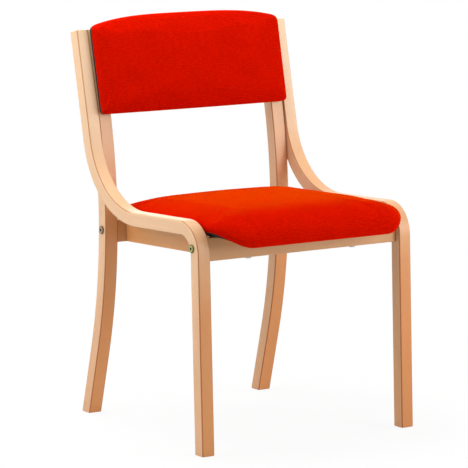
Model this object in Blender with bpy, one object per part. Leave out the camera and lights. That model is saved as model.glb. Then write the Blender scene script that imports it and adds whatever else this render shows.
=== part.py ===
"""Conference chair: two bent side hoops, two bent rear legs, four rails, a padded seat and a padded back."""
import math

import bmesh
import bpy
from mathutils import Matrix, Vector

# Side hoops and rear legs, bent laminations
CHAIR_WIDTH = 0.512
HOOP_WIDTH = 0.0285
HOOP_TOP_WIDTH = 0.0255
HOOP_TOP_HEIGHT = 0.800
TAPER_LENGTH = 0.180
BEND_THICKNESS = 0.0282
REAR_LEG_WIDTH = 0.0300
REAR_LEG_SETBACK = 0.0025
EDGE_ROUND = 0.0026
END_CHAMFER = 0.0010

# Side view of the hoop, along its centre line
SEAT_RUN_HEIGHT = 0.4454
SEAT_TILT = math.radians(2.2)
SEAT_RUN = 0.3675
FRONT_BEND_RADIUS = 0.0508
BACK_BEND_RADIUS = 0.1785
BACK_RECLINE = math.radians(12.63)

# Side view of the rear leg, along its centre line
REAR_STRAIGHT_LENGTH = 0.166
REAR_LEG_RADIUS = 1.054
REAR_LEG_SPLAY = math.radians(14.83)

# Rails
RAIL_THICKNESS = 0.020
RAIL_HEIGHT = 0.046
RAIL_DROP = 0.0190
FRONT_RAIL_SETBACK = 0.0115
SIDE_RAIL_INSET = 0.022
SIDE_RAIL_THICKNESS = 0.020
RAIL_EDGE = 0.0015

# Seat board, lining and pad
LINING_THICKNESS = 0.0010
LINING_INSET = 0.010
LINING_CORNER = 0.015
SEAT_BOARD_THICKNESS = 0.0110
SEAT_BOARD_INSET = 0.0120
SEAT_SIDE_GAP = 0.0045
SEAT_OVERHANG = 0.0542
SEAT_REAR_GAP = 0.0125
SEAT_FRONT_CORNER = 0.064
SEAT_REAR_CORNER = 0.080
SEAT_LEAST_CORNER = 0.006
CORNER_DRAW = 0.6
LIP_LENGTH = 0.060
LIP_RADIUS = 0.079
LIP_LIMIT = 0.98
LIP_EASE = 0.0009
PAD_SKIRT = 0.0035
PAD_LIP_SKIRT = 0.0080
PAD_TUCK = 0.0035
PAD_WALL = 0.0060
PAD_SHOULDER_RISE = 0.0280
PAD_SHOULDER_RUN = 0.0450
PAD_CROWN = 0.0090
NOSE_LENGTH = 0.120
NOSE_THINNING = 0.40

# Edge profile that both pads share
SHOULDER_TURN = math.radians(81.0)
SHOULDER_STEPS = 3
WALL_BREAK = 0.45
CROWN_POWER = 2.2

# Back board, cover and pad
BACK_SIDE_GAP = 0.0020
BACK_HALF_WIDTH = CHAIR_WIDTH / 2 - HOOP_WIDTH - BACK_SIDE_GAP
BACK_DROP = 0.1715
BACK_HEIGHT = 0.1805
BACK_ARCH = 0.0225
ARCH_POWER = 2.2
BACK_TOP_CORNER = 0.007
BACK_BOTTOM_CORNER = 0.009
BACK_LEAST_CORNER = 0.003
BACK_CORNER_DRAW = 0.35
BACK_HOLLOW = 0.0080
BACK_COVER_THICKNESS = 0.0022
BACK_COVER_INSET = 0.0060
BACK_BOARD_THICKNESS = 0.0080
BACK_BOARD_INSET = 0.0050
BACK_BOARD_CORNER = 0.009
BACK_TUCK = 0.0010
BACK_WALL = 0.0010
BACK_SHOULDER_RISE = 0.0150
BACK_SHOULDER_RUN = 0.0180
BACK_CROWN = 0.0040

# Fasteners
BOLT_DROP = 0.0380
BOLT_HEAD_DIAMETER = 0.0168
BOLT_HEAD_HEIGHT = 0.0026
BOLT_SHANK_DIAMETER = 0.0060
BOLT_REACH = 0.040
SOCKET_ACROSS_FLATS = 0.0048
SOCKET_DEPTH = 0.0018
HEAD_ROUND = 0.45
HEAD_ROUND_SPREAD = 1.4
POINT_EASE = 0.15
NUT_DIAMETER = 0.0100
NUT_LENGTH = 0.0140
NUT_FROM_END = 0.030
NUT_EASE = 0.0008
SEAT_SCREW_SPREAD = 0.1250
SEAT_SCREW_FROM_END = 0.070
SEAT_SCREW_SINK = 0.0040
SEAT_SCREW_HEAD_DIAMETER = 0.0140
SEAT_SCREW_HEAD_HEIGHT = 0.0026
SEAT_SCREW_SHANK_DIAMETER = 0.0050
SEAT_SCREW_GRIP = 0.0070
BACK_SCREW_FIRST = 0.045
BACK_SCREW_SPACING = 0.095
BACK_SCREW_HEAD_DIAMETER = 0.0120
BACK_SCREW_HEAD_HEIGHT = 0.0022
BACK_SCREW_SHANK_DIAMETER = 0.0046
BACK_SCREW_GRIP = 0.0050

# Gap between pieces that touch, and round a shank in its hole
CLEARANCE = 0.0003

# Counts of facets
ROUND_SEGMENTS = 2
ARC_STEP = math.radians(6.0)
LATHE_SEGMENTS = 20
HEAD_STEPS = 2
PAD_GRID = 18
BACK_COLUMNS = 14
CORNER_STEPS = 4

# Edges turning more than this stay sharp in shading
SHARP_ANGLE = math.radians(32.0)


def clear_scene():
    for item in list(bpy.data.objects):
        bpy.data.objects.remove(item, do_unlink=True)


def make_material(name, colour, roughness, metallic=0.0):
    material = bpy.data.materials.new(name)
    material.use_nodes = True
    shader = material.node_tree.nodes["Principled BSDF"]
    shader.inputs["Base Color"].default_value = (*colour, 1.0)
    shader.inputs["Roughness"].default_value = roughness
    shader.inputs["Metallic"].default_value = metallic
    return material


def make_object(name, bm, material, matrix=None):
    """Turn a bmesh into a named object with outward faces."""
    bmesh.ops.recalc_face_normals(bm, faces=bm.faces)
    mesh = bpy.data.meshes.new(name)
    bm.to_mesh(mesh)
    bm.free()
    mesh.materials.append(material)
    mesh.shade_smooth()
    mesh.set_sharp_from_angle(angle=SHARP_ANGLE)
    item = bpy.data.objects.new(name, mesh)
    bpy.context.collection.objects.link(item)
    if matrix is not None:
        item.matrix_world = matrix
    return item


def cut(item, cutters):
    """Take each cutter out of the item with an exact Boolean, then drop the cutters."""
    for tool in cutters:
        tool.hide_render = True
        tool.display_type = "WIRE"
        step = item.modifiers.new(tool.name, "BOOLEAN")
        step.operation = "DIFFERENCE"
        step.solver = "EXACT"
        step.object = tool
    bpy.context.view_layer.update()
    graph = bpy.context.evaluated_depsgraph_get()
    mesh = bpy.data.meshes.new_from_object(item.evaluated_get(graph))
    mesh.name = item.name
    item.modifiers.clear()
    item.data = mesh
    for tool in cutters:
        bpy.data.objects.remove(tool, do_unlink=True)
    mesh.shade_smooth()
    mesh.set_sharp_from_angle(angle=SHARP_ANGLE)


def loft(rings):
    """Join rings of equal counts with quads and close both ends."""
    bm = bmesh.new()
    loops = [[bm.verts.new(point) for point in ring] for ring in rings]
    count = len(loops[0])
    for low, high in zip(loops[:-1], loops[1:]):
        for i in range(count):
            j = (i + 1) % count
            bm.faces.new((low[i], low[j], high[j], high[i]))
    bm.faces.new(loops[0])
    bm.faces.new(loops[-1])
    return bm


def rounded_section(width, depth, radius, segments):
    """Corner-rounded rectangle as (across, through) pairs, counter-clockwise."""
    points = []
    for corner, (sx, sy) in enumerate(((1, 1), (-1, 1), (-1, -1), (1, -1))):
        for k in range(segments + 1):
            angle = math.radians(90.0) * (corner + k / segments)
            points.append((
                sx * (width / 2 - radius) + radius * math.cos(angle),
                sy * (depth / 2 - radius) + radius * math.sin(angle),
            ))
    return points


def lathe(profile, segments=LATHE_SEGMENTS):
    """Turn (radius, height) pairs round Z; the first and last lie on the axis."""
    bm = bmesh.new()
    first = bm.verts.new((0.0, 0.0, profile[0][1]))
    last = bm.verts.new((0.0, 0.0, profile[-1][1]))
    loops = []
    for radius, height in profile[1:-1]:
        ring = []
        for k in range(segments):
            angle = 2.0 * math.pi * k / segments
            ring.append(bm.verts.new((radius * math.cos(angle), radius * math.sin(angle), height)))
        loops.append(ring)
    for k in range(segments):
        m = (k + 1) % segments
        bm.faces.new((first, loops[0][m], loops[0][k]))
        for low, high in zip(loops[:-1], loops[1:]):
            bm.faces.new((low[k], low[m], high[m], high[k]))
        bm.faces.new((last, loops[-1][k], loops[-1][m]))
    return bm


def rod(name, diameter, start, end, segments=LATHE_SEGMENTS):
    """A plain cylinder between two points, used as a cutter."""
    start, end = Vector(start), Vector(end)
    length = (end - start).length
    bm = lathe([(0, 0), (diameter / 2, 0), (diameter / 2, length), (0, length)], segments)
    return make_object(name, bm, CUTTER, axis_matrix(start, end - start))


def axis_matrix(origin, direction):
    """Matrix that puts local Z along the direction at the origin."""
    turn = Vector(direction).normalized().to_track_quat("Z", "X").to_matrix().to_4x4()
    return Matrix.Translation(Vector(origin)) @ turn


def bevelled_box(name, size, matrix, material):
    """A box of the given size about its centre, its edges eased."""
    bm = bmesh.new()
    bmesh.ops.create_cube(bm, size=1.0)
    bmesh.ops.scale(bm, vec=size, verts=bm.verts)
    bmesh.ops.bevel(bm, geom=list(bm.edges), offset=RAIL_EDGE, segments=2, profile=0.5, affect="EDGES")
    return make_object(name, bm, material, matrix)


# Side view frames. In the seat frame "along" runs back from the front leg's centre line and "up" is square
# to the seat; in the back frame "up" runs along the upright and "out" is square to its front face.


def seat_point(x, along, up):
    c, s = math.cos(SEAT_TILT), math.sin(SEAT_TILT)
    return Vector((x, along * c + up * s, SEAT_RUN_HEIGHT - along * s + up * c))


def seat_matrix(x, along, up):
    return Matrix.Translation(seat_point(x, along, up)) @ Matrix.Rotation(-SEAT_TILT, 4, "X")


UPRIGHT = Vector((0.0, math.sin(BACK_RECLINE), math.cos(BACK_RECLINE)))
FORWARD = Vector((0.0, -math.cos(BACK_RECLINE), math.sin(BACK_RECLINE)))
BACK_CORNER = seat_point(0.0, SEAT_RUN, 0.0)
TAPER_START_HEIGHT = HOOP_TOP_HEIGHT - TAPER_LENGTH
REAR_STRAIGHT_HEIGHT = HOOP_TOP_HEIGHT - REAR_STRAIGHT_LENGTH
BACK_BOTTOM_HEIGHT = HOOP_TOP_HEIGHT - BACK_DROP


def upright_centre(height):
    """Point of the uprights' centre line at a height."""
    return BACK_CORNER + UPRIGHT * ((height - BACK_CORNER.z) / UPRIGHT.z)


def back_point(x, up, out):
    foot = upright_centre(BACK_BOTTOM_HEIGHT) + FORWARD * (BEND_THICKNESS / 2 - REAR_LEG_SETBACK)
    foot += UPRIGHT * ((BACK_BOTTOM_HEIGHT - foot.z) / UPRIGHT.z)
    return Vector((x, 0.0, 0.0)) + foot + UPRIGHT * up + FORWARD * out


def hoop_width(height):
    """Width of the hoop, narrower towards its top on the inner side."""
    share = (height - TAPER_START_HEIGHT) / TAPER_LENGTH
    return HOOP_WIDTH + (HOOP_TOP_WIDTH - HOOP_WIDTH) * min(max(share, 0.0), 1.0)


def hoop_inner(height):
    return CHAIR_WIDTH / 2 - hoop_width(height)


def rear_outer(height):
    return hoop_inner(height) - CLEARANCE


def rear_inner(height):
    return rear_outer(height) - REAR_LEG_WIDTH


def turned(start, heading, radius, angle):
    """Points and headings of an arc in the side view; a positive angle leans the heading back."""
    count = max(2, math.ceil(abs(angle) / ARC_STEP))
    centre = start + math.copysign(radius, angle) * Vector((0.0, math.cos(heading), -math.sin(heading)))
    found = []
    for k in range(1, count + 1):
        now = heading + angle * k / count
        spoke = Vector((0.0, math.cos(now), -math.sin(now)))
        found.append((centre - math.copysign(radius, angle) * spoke, now))
    return found


def heading_vector(heading):
    """Direction in the side view, from straight up (0) towards the back."""
    return Vector((0.0, math.sin(heading), math.cos(heading)))


def hoop_path():
    """Centre line of a hoop from foot to top, as points with headings."""
    leg_heading = SEAT_TILT
    run_heading = math.radians(90.0) + SEAT_TILT
    front = seat_point(0.0, 0.0, 0.0)
    foot = front - heading_vector(leg_heading) * (front.z / math.cos(leg_heading))
    path = [(foot, leg_heading)]
    start = front - heading_vector(leg_heading) * FRONT_BEND_RADIUS
    path.append((foot.lerp(start, 0.5), leg_heading))
    path.append((start, leg_heading))
    path += turned(start, leg_heading, FRONT_BEND_RADIUS, math.radians(90.0))
    turn = run_heading - BACK_RECLINE
    setback = BACK_BEND_RADIUS * math.tan(turn / 2)
    start = BACK_CORNER - heading_vector(run_heading) * setback
    path.append((path[-1][0].lerp(start, 0.5), run_heading))
    path.append((start, run_heading))
    path += turned(start, run_heading, BACK_BEND_RADIUS, -turn)
    top = upright_centre(HOOP_TOP_HEIGHT - BEND_THICKNESS / 2 * math.sin(BACK_RECLINE))
    kink = upright_centre(TAPER_START_HEIGHT)
    if path[-1][0].z + EDGE_ROUND < kink.z < top.z - EDGE_ROUND:
        path.append((kink, BACK_RECLINE))
    path.append((top, BACK_RECLINE))
    return path


def rear_path():
    """Centre line of a rear leg from foot to top: splayed foot, long arc, upright flush with the hoop's."""
    back = FORWARD * -REAR_LEG_SETBACK
    start = upright_centre(REAR_STRAIGHT_HEIGHT) + back
    turn = BACK_RECLINE + REAR_LEG_SPLAY
    centre = start - FORWARD * REAR_LEG_RADIUS
    count = max(4, math.ceil(turn / (ARC_STEP / 3.0)))
    path = []
    for k in range(count + 1):
        now = BACK_RECLINE - turn * k / count
        path.append((centre - REAR_LEG_RADIUS * Vector((0.0, math.cos(now), -math.sin(now))), now))
    path = [step for step in path if step[0].z > BEND_THICKNESS]
    low, heading = path[-1]
    path.append((low - heading_vector(heading) * (low.z / math.cos(heading)), heading))
    path.reverse()
    top = upright_centre(HOOP_TOP_HEIGHT - BEND_THICKNESS / 2 * math.sin(BACK_RECLINE)) + back
    kink = upright_centre(TAPER_START_HEIGHT) + back
    if path[-1][0].z + EDGE_ROUND < kink.z < top.z - EDGE_ROUND:
        path.append((kink, BACK_RECLINE))
    path.append((top, BACK_RECLINE))
    return path


def bent_member(name, path, outer, inner, side, material):
    """Sweep the rounded section along a side-view path; outer and inner give the faces' x at a height."""
    section = rounded_section(1.0, BEND_THICKNESS, EDGE_ROUND, ROUND_SEGMENTS)
    rings = []

    def ring(point, heading, shrink, flat_height=None):
        forward = Vector((0.0, -math.cos(heading), math.sin(heading)))
        along = heading_vector(heading)
        found = []
        for across, through in section:
            depth = through * (1.0 - 2.0 * shrink / BEND_THICKNESS)
            spot = point + forward * depth
            if flat_height is not None:
                spot = spot + along * ((flat_height - spot.z) / along.z)
            wide, thin = outer(spot.z), inner(spot.z)
            reach = (wide - thin) / 2 - shrink
            edge = 0.5 - abs(across)
            near = math.copysign(max(reach - edge, 0.0), across)
            if abs(across) < 0.25:
                near = across * 2.0 * reach
            found.append((side * ((wide + thin) / 2 + near), spot.y, spot.z))
        return found

    foot, heading = path[0]
    rings.append(ring(foot, heading, END_CHAMFER, 0.0))
    rings.append(ring(foot, heading, 0.0, END_CHAMFER))
    for point, heading in path[1:-1]:
        rings.append(ring(point, heading, 0.0))
    top, heading = path[-1]
    rings.append(ring(top - heading_vector(heading) * END_CHAMFER, heading, 0.0))
    rings.append(ring(top, heading, END_CHAMFER))
    return make_object(name, loft(rings), material)


# Padded and plated pieces: an outline, rings that follow an edge profile, and a grid that fills the middle.


def outline(x0, x1, y0, y1, front_radius, rear_radius, count):
    """Rounded rectangle as four runs of points; the runs meet at the middles of the corner arcs."""
    radii = (front_radius, front_radius, rear_radius, rear_radius)
    centres = (
        (x0 + radii[0], y0 + radii[0]), (x1 - radii[1], y0 + radii[1]),
        (x1 - radii[2], y1 - radii[2]), (x0 + radii[3], y1 - radii[3]),
    )
    steps = min(CORNER_STEPS, count // 2 - 1)
    middle = count - 2 * steps

    def on_arc(corner, angle):
        x, y = centres[corner]
        return x + radii[corner] * math.cos(angle), y + radii[corner] * math.sin(angle)

    points = []
    for k in range(4):
        m = (k + 1) % 4
        base = math.radians(-90.0 + 90.0 * k)
        for i in range(steps):
            points.append(on_arc(k, base - math.radians(45.0) * (1.0 - i / steps)))
        a, b = on_arc(k, base), on_arc(m, base)
        for i in range(middle):
            points.append((a[0] + (b[0] - a[0]) * i / middle, a[1] + (b[1] - a[1]) * i / middle))
        for i in range(steps):
            points.append(on_arc(m, base + math.radians(45.0) * i / steps))
    return points


def patch(ring, count):
    """Grid of points inside a ring of four runs, blended from its four sides."""
    low = [ring[i] for i in range(count + 1)]
    right = [ring[count + i] for i in range(count + 1)]
    high = [ring[(3 * count - i) % (4 * count)] for i in range(count + 1)]
    left = [ring[(4 * count - i) % (4 * count)] for i in range(count + 1)]
    grid = []
    for j in range(count + 1):
        v = j / count
        row = []
        for i in range(count + 1):
            u = i / count
            spot = []
            for axis in (0, 1):
                sides = (1 - v) * low[i][axis] + v * high[i][axis]
                sides += (1 - u) * left[j][axis] + u * right[j][axis]
                corners = (1 - u) * (1 - v) * low[0][axis] + u * (1 - v) * low[-1][axis]
                corners += (1 - u) * v * high[0][axis] + u * v * high[-1][axis]
                spot.append(sides - corners)
            row.append(tuple(spot))
        grid.append(row)
    return grid


def fill(bm, loop, ring, count, height, place):
    """Close a ring of vertices with the patch grid at the given height function."""
    grid = patch(ring, count)
    rows = []
    for j in range(count + 1):
        row = []
        for i in range(count + 1):
            if j == 0:
                row.append(loop[i])
            elif j == count:
                row.append(loop[(3 * count - i) % (4 * count)])
            elif i == 0:
                row.append(loop[(4 * count - j) % (4 * count)])
            elif i == count:
                row.append(loop[count + j])
            else:
                x, y = grid[j][i]
                row.append(bm.verts.new(place(x, y, height(x, y))))
        rows.append(row)
    for j in range(count):
        for i in range(count):
            bm.faces.new((rows[j][i], rows[j][i + 1], rows[j + 1][i + 1], rows[j + 1][i]))


def shell(name, rings, under, over, place, count, material):
    """Closed body from rings of (outline, height function), filled below by under and above by over."""
    bm = bmesh.new()
    loops = []
    for ring, height in rings:
        loops.append([bm.verts.new(place(x, y, height(x, y))) for x, y in ring])
    total = len(loops[0])
    for low, high in zip(loops[:-1], loops[1:]):
        for i in range(total):
            j = (i + 1) % total
            bm.faces.new((low[i], low[j], high[j], high[i]))
    fill(bm, loops[0], rings[0][0], count, under, place)
    fill(bm, loops[-1], rings[-1][0], count, over, place)
    return make_object(name, bm, material)


def rows_of(half, y0, y1, front_radius, rear_radius, middle):
    """Rows across a rounded rectangle as (y, half width): the front corners, even steps, the rear corners."""
    rows = []
    for k in range(CORNER_STEPS + 1):
        angle = math.radians(90.0) * k / CORNER_STEPS
        rows.append((
            y0 + front_radius * (1.0 - math.cos(angle)), half - front_radius * (1.0 - math.sin(angle))))
    straight = y1 - rear_radius - (y0 + front_radius)
    for k in range(1, middle):
        rows.append((y0 + front_radius + straight * k / middle, half))
    for k in range(CORNER_STEPS + 1):
        angle = math.radians(90.0) * k / CORNER_STEPS
        rows.append((
            y1 - rear_radius * (1.0 - math.sin(angle)), half - rear_radius * (1.0 - math.cos(angle))))
    return rows


def plate(name, rows, low, high, place, columns, material):
    """A board or sheet between two height functions, gridded in straight rows across."""
    bm = bmesh.new()
    sheets = []
    for height in (low, high):
        sheet = []
        for y, half in rows:
            spots = [half * (2.0 * i / columns - 1.0) for i in range(columns + 1)]
            sheet.append([bm.verts.new(place(x, y, height(x, y))) for x in spots])
        sheets.append(sheet)
    for sheet in sheets:
        for near, far in zip(sheet[:-1], sheet[1:]):
            for i in range(columns):
                bm.faces.new((near[i], near[i + 1], far[i + 1], far[i]))
    borders = []
    for sheet in sheets:
        border = list(sheet[0]) + [row[-1] for row in sheet[1:]]
        border += list(reversed(sheet[-1]))[1:] + [row[0] for row in reversed(sheet[1:-1])]
        borders.append(border)
    count = len(borders[0])
    for i in range(count):
        j = (i + 1) % count
        bm.faces.new((borders[0][i], borders[0][j], borders[1][j], borders[1][i]))
    return make_object(name, bm, material)


def pad(name, edge, base, skirt, recess, sizes, thin, half, middle, place, material):
    """A cushion: it wraps down round its board by the skirt, then wall, rounded shoulder and a crown.

    thin(y) is the share of its height that the cushion loses towards its nose.
    """
    tuck, wall, rise, run, crown = sizes

    def lifted(amount):
        return lambda x, y: base(x, y) + amount * (1.0 - thin(y))

    def lower(x, y):
        return base(x, y) - skirt(x, y)

    rings = [(edge(recess, PAD_GRID), base), (edge(recess, PAD_GRID), lower), (edge(tuck, PAD_GRID), lower)]
    for share in (WALL_BREAK, 1.0):
        rings.append((edge(tuck * (1.0 - share) ** 2, PAD_GRID), between(lower, lifted(wall), share)))
    for k in range(1, SHOULDER_STEPS + 1):
        angle = SHOULDER_TURN * k / SHOULDER_STEPS
        rings.append((edge(run * (1.0 - math.cos(angle)), PAD_GRID), lifted(wall + rise * math.sin(angle))))
    edge_height = wall + rise * math.sin(SHOULDER_TURN)
    drawn_in = run * (1.0 - math.cos(SHOULDER_TURN))

    def top(x, y):
        fx = max(0.0, 1.0 - abs((x - middle[0]) / (half[0] - drawn_in)) ** CROWN_POWER)
        fy = max(0.0, 1.0 - abs((y - middle[1]) / (half[1] - drawn_in)) ** CROWN_POWER)
        return base(x, y) + (edge_height + crown * fx * fy) * (1.0 - thin(y))

    return shell(name, rings, base, top, place, PAD_GRID, material)


def between(low, high, share):
    """A height function that lies at a share of the way from one to another."""
    return lambda x, y: low(x, y) + (high(x, y) - low(x, y)) * share


def bolt_profile(head_diameter, head_height, shank_diameter, length):
    """Half profile of a round-edged head above z = 0 with its shank below."""
    head, shank = head_diameter / 2, shank_diameter / 2
    rise, point = head_height * HEAD_ROUND, shank_diameter * POINT_EASE
    profile = [(0, -length), (shank - point, -length), (shank, point - length), (shank, 0), (head, 0)]
    for k in range(HEAD_STEPS + 1):
        angle = math.radians(90.0) * k / HEAD_STEPS
        drawn_in = rise * HEAD_ROUND_SPREAD * (1.0 - math.cos(angle))
        profile.append((head - drawn_in, head_height - rise * (1.0 - math.sin(angle))))
    return profile + [(0, head_height)]


def hex_prism(name, across_flats, height, matrix):
    radius = across_flats / 2 / math.cos(math.radians(30.0))
    return make_object(name, lathe([(0, 0), (radius, 0), (radius, height), (0, height)], 6), CUTTER, matrix)


clear_scene()
BEECH = make_material("beech", (0.72, 0.46, 0.25), 0.45)
PLY = make_material("plywood", (0.60, 0.42, 0.25), 0.60)
FABRIC = make_material("orange_red_fabric", (0.66, 0.012, 0.002), 0.92)
LINING = make_material("black_lining", (0.012, 0.011, 0.010), 0.95)
ZINC = make_material("yellow_zinc", (0.62, 0.56, 0.30), 0.35, 0.9)
STEEL = make_material("grey_steel", (0.36, 0.36, 0.36), 0.40, 0.9)
CUTTER = make_material("cutter", (1.0, 0.2, 1.0), 0.5)

SIDES = (("left", -1), ("right", 1))
hoops, rear_legs, made = {}, {}, []
hoop_line, rear_line = hoop_path(), rear_path()
for word, side in SIDES:
    hoops[word] = bent_member(
        word + "_front_hoop", hoop_line, lambda z: CHAIR_WIDTH / 2, hoop_inner, side, BEECH)
    rear_legs[word] = bent_member(word + "_rear_leg", rear_line, rear_outer, rear_inner, side, BEECH)
    made += [hoops[word], rear_legs[word]]


def rear_along(up):
    """Seat-frame place of the rear leg's centre line at a level of the seat frame."""
    c, s = math.cos(SEAT_TILT), math.sin(SEAT_TILT)
    best = None
    for (p, _), (q, _) in zip(rear_line[:-1], rear_line[1:]):
        levels = []
        for spot in (p, q):
            rise = spot.z - SEAT_RUN_HEIGHT
            levels.append((spot.y * s + rise * c, spot.y * c - rise * s))
        (u0, a0), (u1, a1) = levels
        if u0 <= up <= u1:
            best = a0 + (a1 - a0) * (up - u0) / (u1 - u0)
    return best


# Rails
rail_top = -RAIL_DROP
rail_middle = rail_top - RAIL_HEIGHT / 2
leg_front = -BEND_THICKNESS / 2
front_rail_along = leg_front + FRONT_RAIL_SETBACK + RAIL_THICKNESS / 2
rear_rail_along = rear_along(-BOLT_DROP)
seat_inner = hoop_inner(0.0)
rear_gap_inner = rear_inner(0.0)
front_rail = bevelled_box(
    "front_rail", (2 * (seat_inner - CLEARANCE), RAIL_THICKNESS, RAIL_HEIGHT),
    seat_matrix(0.0, front_rail_along, rail_middle), BEECH)
rear_rail = bevelled_box(
    "rear_rail", (2 * (rear_gap_inner - CLEARANCE), RAIL_THICKNESS, RAIL_HEIGHT),
    seat_matrix(0.0, rear_rail_along, rail_middle), BEECH)
made += [front_rail, rear_rail]
side_from = front_rail_along + RAIL_THICKNESS / 2 + CLEARANCE
side_to = rear_rail_along - RAIL_THICKNESS / 2 - CLEARANCE
side_x = rear_gap_inner - SIDE_RAIL_INSET - SIDE_RAIL_THICKNESS / 2
side_rails = {}
for word, side in SIDES:
    side_rails[word] = bevelled_box(
        word + "_side_rail", (SIDE_RAIL_THICKNESS, side_to - side_from, RAIL_HEIGHT),
        seat_matrix(side * side_x, (side_from + side_to) / 2, rail_middle), BEECH)
    made.append(side_rails[word])

# Seat: outline and the lip that rolls down in front
seat_half = seat_inner - SEAT_SIDE_GAP
seat_front = leg_front - SEAT_OVERHANG
seat_rear = rear_along(0.0) - BEND_THICKNESS / 2 - SEAT_REAR_GAP
lip_start = seat_front + LIP_LENGTH


def lip_drop(y):
    """How far the board has rolled down at a place in front of the lip's start."""
    reach = min(max(lip_start - y, 0.0), LIP_RADIUS * LIP_LIMIT)
    return LIP_RADIUS - math.sqrt(LIP_RADIUS ** 2 - reach ** 2)


def seat_corner(radius, inset):
    """A plan corner tightens as the outline is drawn in."""
    return max(radius - CORNER_DRAW * inset, SEAT_LEAST_CORNER)


def seat_edge(inset, count):
    return outline(
        -seat_half + inset, seat_half - inset, seat_front + inset, seat_rear - inset,
        seat_corner(SEAT_FRONT_CORNER, inset), seat_corner(SEAT_REAR_CORNER, inset), count)


lining_low = rail_top + CLEARANCE
lining_high = lining_low + LINING_THICKNESS
board_low = lining_high + CLEARANCE
board_high = board_low + SEAT_BOARD_THICKNESS
board_half = seat_half - SEAT_BOARD_INSET
board_front = seat_front + SEAT_BOARD_INSET
board_rear = seat_rear - SEAT_BOARD_INSET
board_corner = max(seat_corner(SEAT_FRONT_CORNER, SEAT_BOARD_INSET), lip_start - board_front)
board_rear_corner = seat_corner(SEAT_REAR_CORNER, SEAT_BOARD_INSET)
seat_lining = plate(
    "seat_lining",
    rows_of(board_half - LINING_INSET, board_front + board_corner + CLEARANCE, board_rear - LINING_INSET,
            LINING_CORNER, LINING_CORNER, 2),
    lambda x, y: lining_low, lambda x, y: lining_high, seat_point, 4, LINING)
seat_board = plate(
    "seat_board", rows_of(board_half, board_front, board_rear, board_corner, board_rear_corner, 6),
    lambda x, y: board_low - lip_drop(y), lambda x, y: board_high - lip_drop(y), seat_point, 8, PLY)


def seat_base(x, y):
    near_lip = min(max((lip_start + LIP_LENGTH / 2 - y) / (LIP_LENGTH / 2), 0.0), 1.0)
    return board_high + CLEARANCE + LIP_EASE * near_lip - lip_drop(y)


def seat_skirt(x, y):
    """The fabric reaches lower round the lip than at the sides."""
    share = min(max((lip_start - y) / LIP_LENGTH, 0.0), 1.0)
    return PAD_SKIRT + (PAD_LIP_SKIRT - PAD_SKIRT) * share


def seat_nose(y):
    """The foam thins towards the front edge, so the top rolls over further than the board does."""
    share = min(max((seat_front + NOSE_LENGTH - y) / NOSE_LENGTH, 0.0), 1.0)
    return NOSE_THINNING * share ** 2


seat_pad = pad(
    "seat_pad", seat_edge, seat_base, seat_skirt, SEAT_BOARD_INSET - 2 * CLEARANCE,
    (PAD_TUCK, PAD_WALL, PAD_SHOULDER_RISE, PAD_SHOULDER_RUN, PAD_CROWN), seat_nose,
    (seat_half, (seat_rear - seat_front) / 2), (0.0, (seat_rear + seat_front) / 2), seat_point, FABRIC)
made += [seat_lining, seat_board, seat_pad]

# Back: hollow in plan, arched along its top, standing on the uprights' front faces
upright_inner = rear_inner(BACK_BOTTOM_HEIGHT)


def back_bow(x):
    """Hollow of the back; it is nil over the uprights' inner edges."""
    return BACK_HOLLOW * ((x / BACK_HALF_WIDTH) ** 2 - (upright_inner / BACK_HALF_WIDTH) ** 2)


def back_place(x, y, out):
    """The arch lifts the top edge most at the middle."""
    lift = BACK_ARCH * (1.0 - min(abs(x) / BACK_HALF_WIDTH, 1.0) ** ARCH_POWER) * y / BACK_HEIGHT
    return back_point(x, y + lift, out)


def back_corner(radius, inset):
    return max(radius - BACK_CORNER_DRAW * inset, BACK_LEAST_CORNER)


def back_edge(inset, count):
    return outline(
        -BACK_HALF_WIDTH + inset, BACK_HALF_WIDTH - inset, inset, BACK_HEIGHT - inset,
        back_corner(BACK_BOTTOM_CORNER, inset), back_corner(BACK_TOP_CORNER, inset), count)


cover_low = CLEARANCE
cover_high = cover_low + BACK_COVER_THICKNESS
back_low = cover_high + CLEARANCE
back_high = back_low + BACK_BOARD_THICKNESS
back_cover = plate(
    "back_cover",
    rows_of(BACK_HALF_WIDTH - BACK_COVER_INSET, BACK_COVER_INSET, BACK_HEIGHT - BACK_COVER_INSET,
            BACK_BOARD_CORNER, BACK_BOARD_CORNER, 4),
    lambda x, y: cover_low + back_bow(x), lambda x, y: cover_high + back_bow(x),
    back_place, BACK_COLUMNS, FABRIC)
back_board = plate(
    "back_board",
    rows_of(BACK_HALF_WIDTH - BACK_BOARD_INSET, BACK_BOARD_INSET, BACK_HEIGHT - BACK_BOARD_INSET,
            BACK_BOARD_CORNER, BACK_BOARD_CORNER, 4),
    lambda x, y: back_low + back_bow(x), lambda x, y: back_high + back_bow(x),
    back_place, BACK_COLUMNS, PLY)
back_pad = pad(
    "back_pad", back_edge, lambda x, y: back_high + CLEARANCE + back_bow(x),
    lambda x, y: back_high - cover_low - 2 * CLEARANCE, BACK_BOARD_INSET - 2 * CLEARANCE,
    (BACK_TUCK, BACK_WALL, BACK_SHOULDER_RISE, BACK_SHOULDER_RUN, BACK_CROWN), lambda y: 0.0,
    (BACK_HALF_WIDTH, BACK_HEIGHT / 2), (0.0, BACK_HEIGHT / 2), back_place, FABRIC)
made += [back_cover, back_board, back_pad]

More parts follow.
